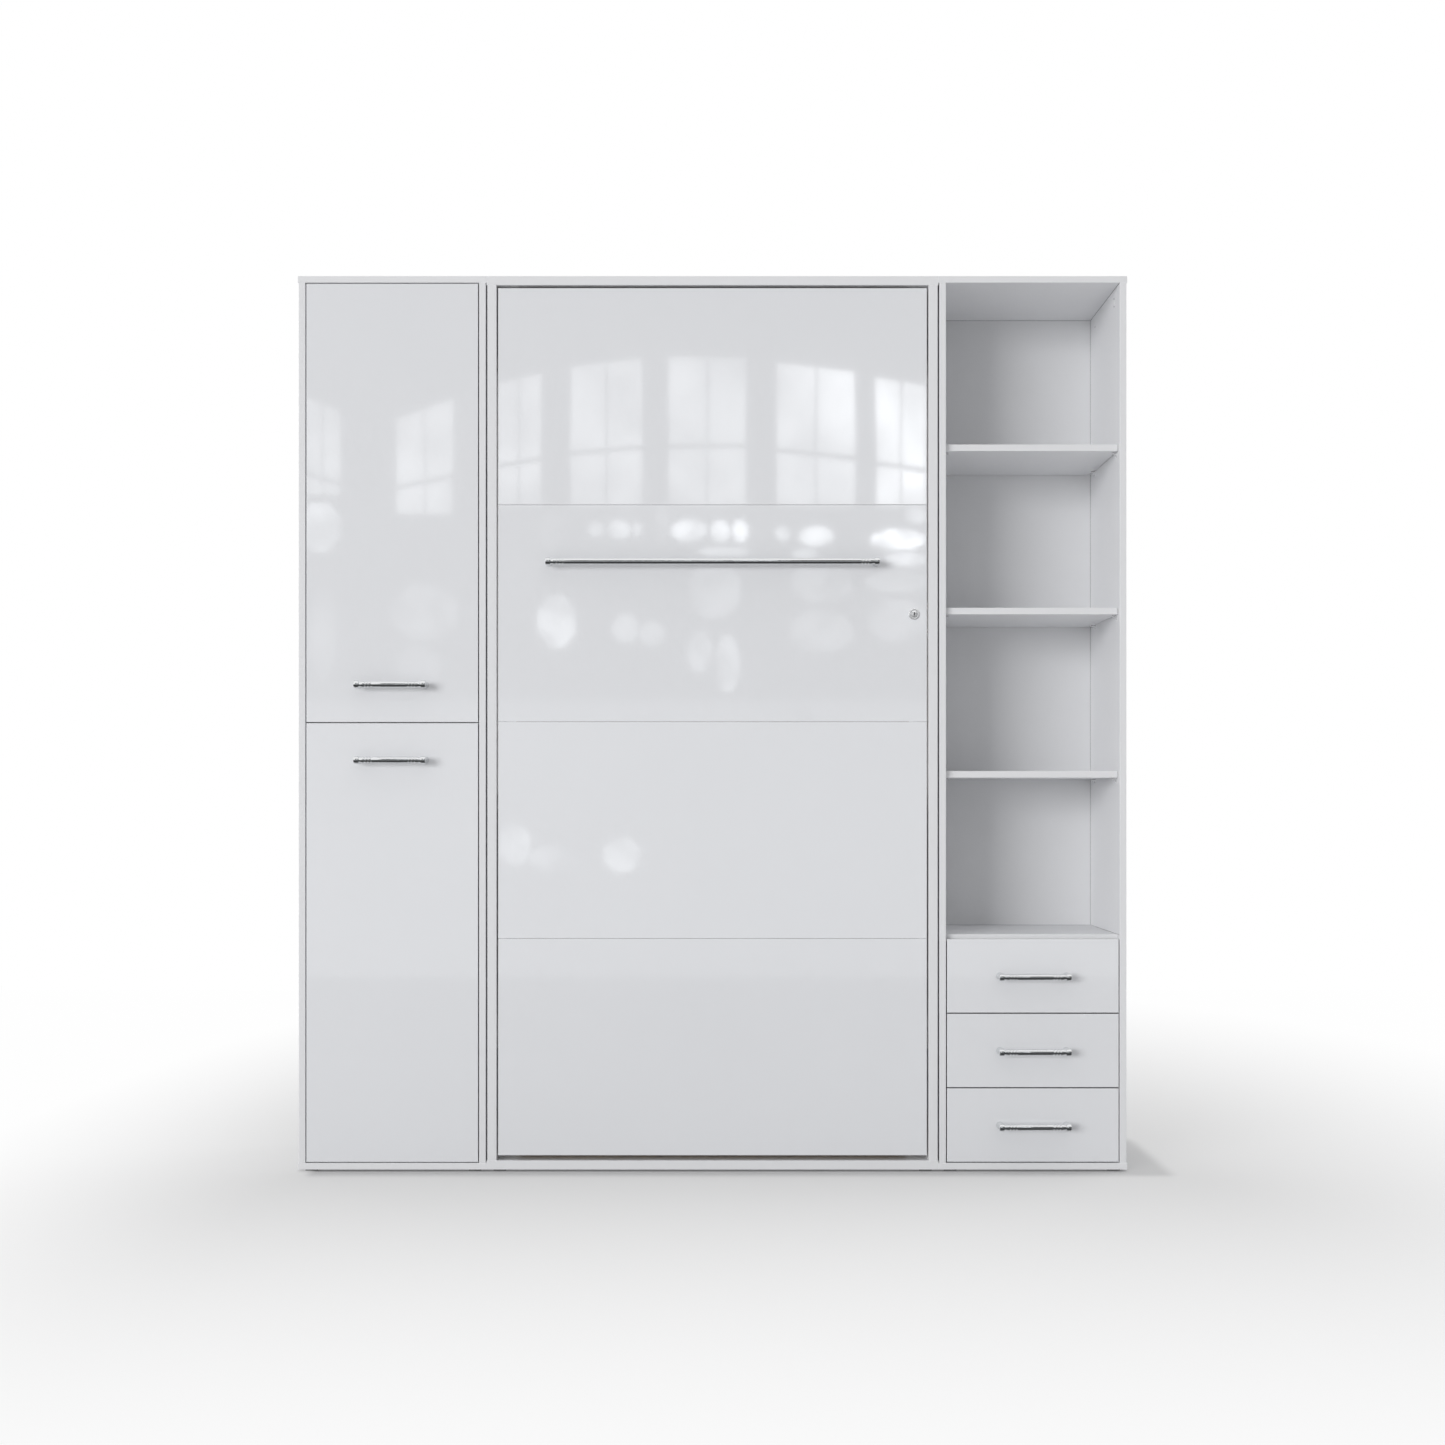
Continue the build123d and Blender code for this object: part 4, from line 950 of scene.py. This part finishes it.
class WALLBED_OT_mattress(bpy.types.Operator):
    """Sew and fill the quilted mattress, with its piped edges"""

    bl_idname = "wallbed.mattress"
    bl_label = "Mattress"

    def execute(self, context):
        mattress = settings().mattress
        low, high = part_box("mattress")
        room = Vector((mattress.swell, mattress.swell, mattress.swell))
        self.low = low + room
        self.high = high - room
        self.centre = (low + high) / 2
        cover = self.sewn_cover(mattress)
        self.fill(cover, mattress)
        bm = bmesh.new()
        for y in (self.low.y, self.high.y):
            self.piping_loop(bm, y, mattress)
        make_piece("mattress_piping", bm, "bed_leaf", finish_material(piping_cloth))
        return {"FINISHED"}

    def piping_loop(self, bm, y, mattress):
        """A round cord cover along the seam of one face, turned round the four corners."""
        half_x = (self.high.x - self.low.x) / 2
        half_z = (self.high.z - self.low.z) / 2
        corner = mattress.corner
        before = set(bm.edges)
        made = bmesh.ops.create_circle(bm, cap_ends=False, segments=10, radius=mattress.piping)
        start = Vector((self.centre.x + half_x, y, self.centre.z - half_z + corner))
        bmesh.ops.translate(bm, vec=start, verts=made["verts"])
        ring = [edge for edge in bm.edges if edge not in before]
        across = 2 * (half_x - corner)
        along = 2 * (half_z - corner)
        runs = (Z_AXIS * along, -X_AXIS * across, -Z_AXIS * along, X_AXIS * across)
        ends = ((1, 1), (-1, 1), (-1, -1), (1, -1))
        for run, (side, end) in zip(runs, ends):
            grown = bmesh.ops.extrude_edge_only(bm, edges=ring)["geom"]
            bmesh.ops.translate(bm, vec=run, verts=only(bmesh.types.BMVert, grown))
            tip = only(bmesh.types.BMEdge, grown)
            pivot = self.centre + Vector((side * across / 2, 0, end * along / 2))
            pivot.y = y
            spun = bmesh.ops.spin(
                bm, geom=tip, cent=pivot, axis=-Y_AXIS, angle=math.pi / 2, steps=8, use_duplicate=False,
            )
            ring = only(bmesh.types.BMEdge, spun["geom_last"])

    def sewn_cover(self, mattress):
        """The flat-sided cover before it is filled."""
        size = self.high - self.low
        bm = bmesh.new()
        lie_flat = Matrix.Rotation(math.pi / 2, 4, "X")
        made = bmesh.ops.create_grid(
            bm, x_segments=mattress.cells_across, y_segments=mattress.cells_along, size=0.5, matrix=lie_flat,
        )
        bmesh.ops.scale(bm, vec=(size.x, 1, size.z), verts=made["verts"])
        bmesh.ops.translate(bm, vec=(self.centre.x, self.high.y, self.centre.z), verts=made["verts"])
        self.round_corners(bm, mattress.corner)
        lower = bmesh.ops.duplicate(bm, geom=bm.verts[:] + bm.edges[:] + bm.faces[:])
        bmesh.ops.translate(bm, vec=(0, -size.y, 0), verts=only(bmesh.types.BMVert, lower["geom"]))
        borders = [edge for edge in bm.edges if edge.is_boundary]
        bmesh.ops.bridge_loops(bm, edges=borders)
        uprights = [
            edge for edge in bm.edges
            if abs(edge.verts[0].co.y - edge.verts[1].co.y) > size.y / 2
        ]
        bmesh.ops.subdivide_edges(bm, edges=uprights, cuts=mattress.border_rows - 1, use_grid_fill=True)
        bmesh.ops.recalc_face_normals(bm, faces=bm.faces)
        cover = new_object("mattress_cover", bm, finish_material(ticking))
        cover.data.shade_smooth()
        return cover

    def round_corners(self, bm, radius):
        """Draw the square corners of a flat panel in to a radius."""
        half_x = (self.high.x - self.low.x) / 2 - radius
        half_z = (self.high.z - self.low.z) / 2 - radius
        for vert in bm.verts:
            across = vert.co.x - self.centre.x
            along = vert.co.z - self.centre.z
            past_x = abs(across) - half_x
            past_z = abs(along) - half_z
            if past_x > 0 and past_z > 0:
                pull = max(past_x, past_z) / math.hypot(past_x, past_z)
                vert.co.x = self.centre.x + math.copysign(half_x + past_x * pull, across)
                vert.co.z = self.centre.z + math.copysign(half_z + past_z * pull, along)

    def is_sewn(self, co, mattress):
        """Whether a point of the cover lies on a quilted line, a piped edge or a sewn line of the border."""
        size = self.high - self.low
        near_face = min(self.high.y - co.y, co.y - self.low.y) < MERGE_DISTANCE
        if not near_face:
            row = round((co.y - self.low.y) / size.y * mattress.border_rows)
            return row % mattress.border_quilt == 0
        column = round((co.x - self.low.x) / size.x * mattress.cells_across)
        row = round((co.z - self.low.z) / size.z * mattress.cells_along)
        quilted = (row + column) % mattress.quilt_cells == 0 or (row - column) % mattress.quilt_cells == 0
        at_side = min(column, mattress.cells_across - column) == 0
        at_end = min(row, mattress.cells_along - row) == 0
        return quilted or at_side or at_end

    def fill(self, cover, mattress):
        start = [vert.co.copy() for vert in cover.data.vertices]
        sewn = [index for index, co in enumerate(start) if self.is_sewn(co, mattress)]
        self.simulate(cover, sewn, mattress)
        for vert, before in zip(cover.data.vertices, start):
            step = vert.co - before
            if step.length > mattress.swell:
                vert.co = before + step.normalized() * mattress.swell
        smooth = cover.modifiers.new("soft_cover", "SUBSURF")
        smooth.levels = 1
        smooth.render_levels = 1
        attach(cover, "bed_leaf")
        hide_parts("mattress")

    def simulate(self, cover, sewn, mattress):
        """Run the filling's pressure and keep its result in the mesh."""
        group = cover.vertex_groups.new(name="sewn")
        group.add(sewn, 1.0, "REPLACE")
        modifier = cover.modifiers.new("filling", "CLOTH")
        cloth = modifier.settings
        cloth.quality = 5
        cloth.mass = 0.3
        cloth.tension_stiffness = 8.0
        cloth.compression_stiffness = 8.0
        cloth.shear_stiffness = 4.0
        cloth.bending_stiffness = 0.3
        cloth.use_pressure = True
        cloth.uniform_pressure_force = mattress.pressure
        cloth.shrink_min = -mattress.slack
        cloth.effector_weights.gravity = 0.0
        cloth.vertex_group_mass = group.name
        modifier.collision_settings.use_collision = False
        scene = bpy.context.scene
        for step in range(1, FILL_FRAMES + 1):
            scene.frame_set(step)
        graph = bpy.context.evaluated_depsgraph_get()
        filled = cover.evaluated_get(graph).data
        places = [vert.co.copy() for vert in filled.vertices]
        cover.modifiers.remove(modifier)
        scene.frame_set(1)
        for vert, place in zip(cover.data.vertices, places):
            vert.co = place


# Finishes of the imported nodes


class WALLBED_OT_finishes(bpy.types.Operator):
    """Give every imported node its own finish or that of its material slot"""

    bl_idname = "wallbed.finishes"
    bl_label = "Finishes"

    def execute(self, context):
        for row in frame["record"]["subparts"]:
            maker = NODE_FINISHES.get(row["node"])
            materials = frame["nodes"][row["node"]].data.materials
            materials.clear()
            materials.append(finish_material(maker) if maker else slot_material(row["material_slot"]))
        return {"FINISHED"}


# Stage

LAMP_AIM = Vector((0.1, 0.0, 0.9))
KEY_PLACE = (-16.9, -22.4, 4.7)
KEY_SIZE = (14.0, 8.6)
LEFT_BACK_PLACE = (-4.5, 6.5, 3.0)
RIGHT_BACK_PLACE = (7.0, 3.6, 3.0)
BACK_SIZE = (5.0, 4.0)
SENSOR_WIDTH = 36.0
PICTURE_SIZE = 1445  # width and height of the picture
WHITE = (1.0, 1.0, 1.0, 1.0)
FLOOR_HALF_WIDTH = 8.0
FLOOR_EDGES = (-9.0, 3.87)  # front and back edge of the floor
FLOOR_PAINTED_SHADE = 0.72  # painted shade: share of the floor's colour left at the unit's foot
FLOOR_PALEST = 2.2  # distance from the unit at which the painted shade ends and the floor has its own colour
WHITE_SHARE = (0.36, 0.97)  # share of a white glow, painted light, in what the eye sees of the floor, at the unit and far from it
WHITEST = 2.18  # distance from the unit of the second share
CONTACT_SHARE = 0.2  # of that glow left where the unit meets the floor, so that the floor is darker at its foot
CONTACT_REACH = 0.06
# Slope and start of the distance to the left, to the right, in front and behind.
FLOOR_LEFT = (-2.2, -2.1)
FLOOR_RIGHT = (1.3, -1.4)
FLOOR_FRONT = (-1.0, -0.17)
FLOOR_BEHIND = (0.6, -0.12)

# The hall in front of the unit is a set of glowing cards that only mirrors see: a painted reflection. Each
# window:
# columns of its sides, rows of its top corners, of its slanting bar's ends and of its sill, as the picture
# shows its reflection.
HALL_WINDOWS = (
    (305, 340, 398, 411, 473, 483, 494),
    (397, 453, 418, 400, 487, 476, 514),
    (497, 541, 384, 373, 466, 459, 505),
    (571, 642, 367, 359, 453, 447, 505),
    (669, 746, 357, 358, 446, 446, 505),
    (777, 855, 363, 372, 450, 458, 505),
    (876, 926, 378, 386, 463, 470, 505),
)
WINDOW_GLOW = (1.85, 4.6)  # of the windows on the left and on the right
WINDOW_CLOUD = 0.4
WINDOW_TINT = (0.95, 0.975, 1.0, 1.0)
GLOW_ENDS = (0.1, 1.6)  # x between which the glow rises
BAR_HALF = 2.5  # half the width of a window's slanting bar, in the picture
# Painted reflections of smaller bright places under the windows: column and row of two corners in the
# picture, and level.
HALL_GLINTS = (
    (590, 522, 603, 536, 4.5), (633, 522, 642, 536, 3.0), (655, 506, 668, 545, 0.7),
    (672, 520, 707, 541, 4.2), (711, 521, 730, 542, 4.4), (733, 520, 748, 542, 4.8),
    (698, 547, 748, 556, 2.6),
    (776, 526, 790, 540, 4.0), (799, 526, 833, 545, 4.6), (792, 549, 818, 558, 2.6),
    (872, 530, 926, 549, 9.0), (886, 553, 926, 566, 3.5), (905, 508, 926, 524, 3.5),
    (538, 596, 576, 648, 2.8), (540, 512, 562, 552, 0.6), (612, 614, 638, 642, 1.6),
    (640, 622, 664, 646, 1.5), (688, 632, 712, 672, 1.4), (716, 636, 740, 692, 1.7),
    (690, 562, 740, 618, 1.1), (792, 562, 852, 602, 1.1), (790, 612, 852, 652, 0.9),
    (866, 572, 926, 592, 1.2), (868, 600, 926, 642, 1.1), (500, 824, 530, 866, 2.2),
    (604, 838, 640, 872, 2.2), (530, 846, 580, 872, 1.4), (790, 700, 826, 724, 0.6),
    (392, 585, 456, 640, 0.9), (396, 646, 440, 690, 0.6), (310, 590, 336, 680, 0.7),
    (300, 503, 340, 552, 2.6), (608, 520, 630, 538, 3.0),
)
GLINT_LEVEL = "glint_level"
GLINT_TINT = (0.93, 0.965, 1.0, 1.0)
GLINT_REACH = 0.54  # of a bright place from its middle, as a share of its size
CARD_Y = -9.0  # plane of the windows, far in front of the unit
PLAIN_CLOUD = 0.04
# Painted reflection of the hall's haze and dark wall. Left, top, right and bottom of a card in the picture,
# its distance behind the windows and its glow.
HAZE_CARD = (-100, 700, 1600, 978, 0.05, 0.42)
WALL_CARD = (180, 100, 5200, 1010, 0.1, 0.05)
# Glowing strips that only mirrors see, a painted reflection of the floor, darker near the unit than the floor
# the eye sees: front and back edge, and level.
HALL_FLOOR = {
    "near_floor_painted_shade": (-2.0, -0.2, 0.07),
    "far_floor_painted_shade": (-4.6, -2.0, 0.03),
    "lit_floor_painted_light": (-9.0, -4.6, 0.45),
}
HALL_FLOOR_ENDS = (-6.0, 34.0)
HALL_FLOOR_RISE = 0.015


def card_point(column, row):
    """Where a card has to be for its reflection in the fronts to fall on a place in the picture."""
    stage = settings().stage
    reach = (FRONT_Y - stage.eye[1]) + (FRONT_Y - CARD_Y)
    step = SENSOR_WIDTH / stage.lens / PICTURE_SIZE * reach
    across = column - PICTURE_SIZE / 2
    up = PICTURE_SIZE * (0.5 + stage.rise) - row
    return Vector((stage.eye[0] + across * step, CARD_Y, stage.eye[2] + up * step))


def glow_material(name, left, right, cloud):
    """Emission of a painted reflection that rises from left to right, broken by soft cloud."""
    finish = Finish(name)
    level = finish.range(finish.parts(finish.place)["X"], left, right, *GLOW_ENDS)
    broken = finish.range(finish.noise(2.6, 6.0), 1.0 - cloud, 1.0 + cloud * 0.4, 0.3, 0.7)
    return glowing(finish, finish.math("MULTIPLY", level, broken), WINDOW_TINT)


def glint_material(name):
    """Emission of the painted bright places, whose level is kept on each pane."""
    finish = Finish(name)
    level = finish.node("ShaderNodeAttribute", {}, attribute_name=GLINT_LEVEL)["Fac"]
    broken = finish.range(finish.noise(4.0, 6.0), 0.35, 1.0, 0.36, 0.62)
    return glowing(finish, finish.math("MULTIPLY", level, broken), GLINT_TINT)


def glowing(finish, strength, tint):
    """The material of a finish that glows instead of taking light."""
    return finish.surface(finish.node("ShaderNodeEmission", {"Strength": strength, "Color": tint})[0])


def stage_card(name, bm, material):
    """A glowing card that only mirror-like surfaces see, for a painted reflection."""
    card = new_object(name, bm, material)
    card.visible_camera = False
    card.visible_diffuse = False
    card.visible_transmission = False
    card.visible_volume_scatter = False
    card.visible_shadow = False


def pane(bm, corners):
    """One four-cornered pane."""
    bm.faces.new([bm.verts.new(corner) for corner in corners])


def flat_corners(left, right, front, back, height):
    """Corners of a level rectangle."""
    return [(x, y, height) for x, y in ((left, front), (right, front), (right, back), (left, back))]


def blot(bm, corner, far_corner):
    """One blot between two corners, a pane with its corners cut off."""
    reach = (far_corner - corner) * GLINT_REACH
    made = bmesh.ops.create_circle(bm, cap_ends=True, segments=8, radius=1.0)["verts"]
    upright = Matrix.Rotation(math.pi / 2, 3, "X") @ Matrix.Rotation(math.pi / 8, 3, "Z")
    bmesh.ops.rotate(bm, verts=made, cent=(0, 0, 0), matrix=upright)
    bmesh.ops.scale(bm, verts=made, vec=(abs(reach.x), 1, abs(reach.z)))
    bmesh.ops.translate(bm, verts=made, vec=(corner + far_corner) / 2)
    return made[0].link_faces[0]


def slant(column, left, right, start, end):
    """The row at a column of a line that slants from one side of a window to the other."""
    return start + (end - start) * (column - left) / (right - left)


class WALLBED_OT_stage(bpy.types.Operator):
    """Set up the camera, the soft lamps, the pale floor with its painted shade and the glowing cards of a
    hall that paint the reflection in the gloss
    """

    bl_idname = "wallbed.stage"
    bl_label = "Stage"

    def execute(self, context):
        stage = settings().stage
        context.scene.view_settings.view_transform = "Standard"
        self.camera(context, stage)
        self.world(context, stage)
        self.lamp(context, "key_lamp", KEY_PLACE, stage.key_power, KEY_SIZE)
        self.lamp(context, "left_back_lamp", LEFT_BACK_PLACE, stage.left_power, BACK_SIZE)
        self.lamp(context, "right_back_lamp", RIGHT_BACK_PLACE, stage.right_power, BACK_SIZE)
        self.floor(stage)
        self.hall()
        return {"FINISHED"}

    def camera(self, context, stage):
        """A level camera square to the fronts."""
        data = bpy.data.cameras.new("camera")
        data.lens = stage.lens
        data.sensor_width = SENSOR_WIDTH
        data.shift_y = stage.rise
        camera = bpy.data.objects.new("camera", data)
        camera.location = stage.eye
        camera.rotation_euler = (math.pi / 2, 0, 0)
        context.scene.collection.objects.link(camera)
        context.scene.camera = camera

    def world(self, context, stage):
        """White to the eye, softer as a light, and brighter from above than from the sides."""
        world = bpy.data.worlds.new("studio")
        world.use_nodes = True
        nodes = Nodes(world.node_tree)
        up = nodes.parts(nodes.node("ShaderNodeTexCoord", {})["Generated"])["Z"]
        ambient = nodes.tree.nodes["Background"]
        nodes.feed(ambient, "Color", WHITE)
        nodes.feed(ambient, "Strength", nodes.range(up, stage.horizon, stage.sky, ends="LINEAR"))
        white = nodes.node("ShaderNodeBackground", {"Color": WHITE, "Strength": 1.0})[0]
        both = nodes.mixed_shaders(nodes.seen(), ambient.outputs[0], white)
        nodes.feed(nodes.tree.nodes["World Output"], "Surface", both)
        context.scene.world = world

    def lamp(self, context, name, place, power, size):
        """A large soft lamp that mirrors don't show."""
        data = bpy.data.lights.new(name, "AREA")
        data.shape = "RECTANGLE"
        data.size, data.size_y = size
        data.energy = power
        lamp = bpy.data.objects.new(name, data)
        lamp.location = place
        aim = LAMP_AIM - lamp.location
        lamp.rotation_euler = aim.to_track_quat("-Z", "Y").to_euler()
        lamp.visible_glossy = False
        context.scene.collection.objects.link(lamp)

    def floor(self, stage):
        """A pale floor that keeps the real shadow, with painted shade darkening it towards the unit and a
        white glow, painted light, that grows away from the unit and fades it to white.
        """
        finish = Finish("pale_floor")
        away = self.away_from_unit(finish)
        # Painted shade: the floor's colour darkens towards the unit's foot.
        painted_shade_fade = finish.range(away, 0.0, 1.0, 0.0, FLOOR_PALEST)
        tint = finish.mixed(painted_shade_fade, shaded(stage.floor, FLOOR_PAINTED_SHADE), stage.floor)
        matt = finish.node("ShaderNodeBsdfDiffuse", {"Color": tint})[0]
        white = finish.node("ShaderNodeEmission", {})[0]
        # Painted light: a white glow for the eye and mirrors, weakest near the unit and least at its foot.
        fade = finish.range(away, *WHITE_SHARE, 0.0, WHITEST, "LINEAR")
        contact = finish.range(away, CONTACT_SHARE, 1.0, 0.0, CONTACT_REACH)
        share = finish.math("MULTIPLY", finish.math("MULTIPLY", fade, contact), finish.seen())
        bm = bmesh.new()
        pane(bm, flat_corners(-FLOOR_HALF_WIDTH, FLOOR_HALF_WIDTH, *FLOOR_EDGES, 0.0))
        new_object("floor", bm, finish.surface(finish.mixed_shaders(share, matt, white)))

    def away_from_unit(self, finish):
        """Distance on the floor from the unit's foot, which counts more to the sides than behind."""
        place = finish.parts(finish.place)
        squares = []
        for axis, ways in (("X", (FLOOR_LEFT, FLOOR_RIGHT)), ("Y", (FLOOR_FRONT, FLOOR_BEHIND))):
            one, other = (finish.math("MULTIPLY_ADD", place[axis], *way) for way in ways)
            past = finish.math("MAXIMUM", finish.math("MAXIMUM", one, other), 0.0)
            squares.append(finish.math("POWER", past, 2.0))
        return finish.math("SQRT", finish.math("ADD", *squares))

    def hall(self):
        """The glowing cards that paint the hall's reflection: its windows, haze, bright places, wall and
        floor.
        """
        windows = bmesh.new()
        for window in HALL_WINDOWS:
            self.window(windows, *window)
        stage_card("hall_windows", windows, glow_material("window_glow", *WINDOW_GLOW, WINDOW_CLOUD))
        glints = bmesh.new()
        level = glints.faces.layers.float.new(GLINT_LEVEL)
        for left, top, right, bottom, glow in HALL_GLINTS:
            blot(glints, card_point(left, top), card_point(right, bottom))[level] = glow
        stage_card("hall_glints", glints, glint_material("glint_glow"))
        self.plain_card("haze", *HAZE_CARD)
        self.plain_card("wall", *WALL_CARD)
        for name, (front, back, glow) in HALL_FLOOR.items():
            self.plain_pane(name, flat_corners(*HALL_FLOOR_ENDS, front, back, HALL_FLOOR_RISE), glow)

    def window(self, bm, left, right, left_top, right_top, left_bar, right_bar, sill):
        """The four panes of a window, between its post and its slanting bar."""
        middle = (left + right) / 2
        for near, far in ((left, middle - BAR_HALF / 2), (middle + BAR_HALF / 2, right)):
            near_top, far_top = (slant(side, left, right, left_top, right_top) for side in (near, far))
            near_bar, far_bar = (slant(side, left, right, left_bar, right_bar) for side in (near, far))
            upper = ((near, near_top), (far, far_top), (far, far_bar - BAR_HALF), (near, near_bar - BAR_HALF))
            lower = ((near, near_bar + BAR_HALF), (far, far_bar + BAR_HALF), (far, sill), (near, sill))
            pane(bm, [card_point(*corner) for corner in upper])
            pane(bm, [card_point(*corner) for corner in lower])

    def plain_card(self, name, left, top, right, bottom, behind, glow):
        """An upright card of one level, a little behind the windows."""
        corners = ((left, top), (right, top), (right, bottom), (left, bottom))
        self.plain_pane(name, [card_point(*corner) - Y_AXIS * behind for corner in corners], glow)

    def plain_pane(self, name, corners, glow):
        """One pane of one level."""
        bm = bmesh.new()
        pane(bm, corners)
        stage_card(f"hall_{name}", bm, glow_material(f"{name}_glow", glow, glow, PLAIN_CLOUD))


class WALLBED_PT_panel(bpy.types.Panel):
    """The pieces of the wall bed, in the order in which they are made"""

    bl_idname = "WALLBED_PT_panel"
    bl_label = "Wall bed"
    bl_space_type = "VIEW_3D"
    bl_region_type = "UI"
    bl_category = "Wall bed"

    def draw(self, context):
        for operator in OPERATORS:
            self.layout.operator(operator.bl_idname)


OPERATORS = (
    WALLBED_OT_stage,
    WALLBED_OT_finishes,
    WALLBED_OT_handles,
    WALLBED_OT_lock,
    WALLBED_OT_shelf_supports,
    WALLBED_OT_corner_fittings,
    WALLBED_OT_board_joints,
    WALLBED_OT_screws,
    WALLBED_OT_gas_springs,
    WALLBED_OT_mattress,
)
CLASSES = (
    StageSettings, FinishSettings, HardwareSettings, MattressSettings, WallBedSettings,
    *OPERATORS, WALLBED_PT_panel,
)


def register():
    for kind in CLASSES:
        bpy.utils.register_class(kind)
    bpy.types.Scene.wall_bed = PointerProperty(type=WallBedSettings)


def unregister():
    del bpy.types.Scene.wall_bed
    for kind in reversed(CLASSES):
        bpy.utils.unregister_class(kind)


def main():
    register()
    for operator in OPERATORS:
        group, name = operator.bl_idname.split(".")
        getattr(getattr(bpy.ops, group), name)()


if __name__ == "__main__":
    main()
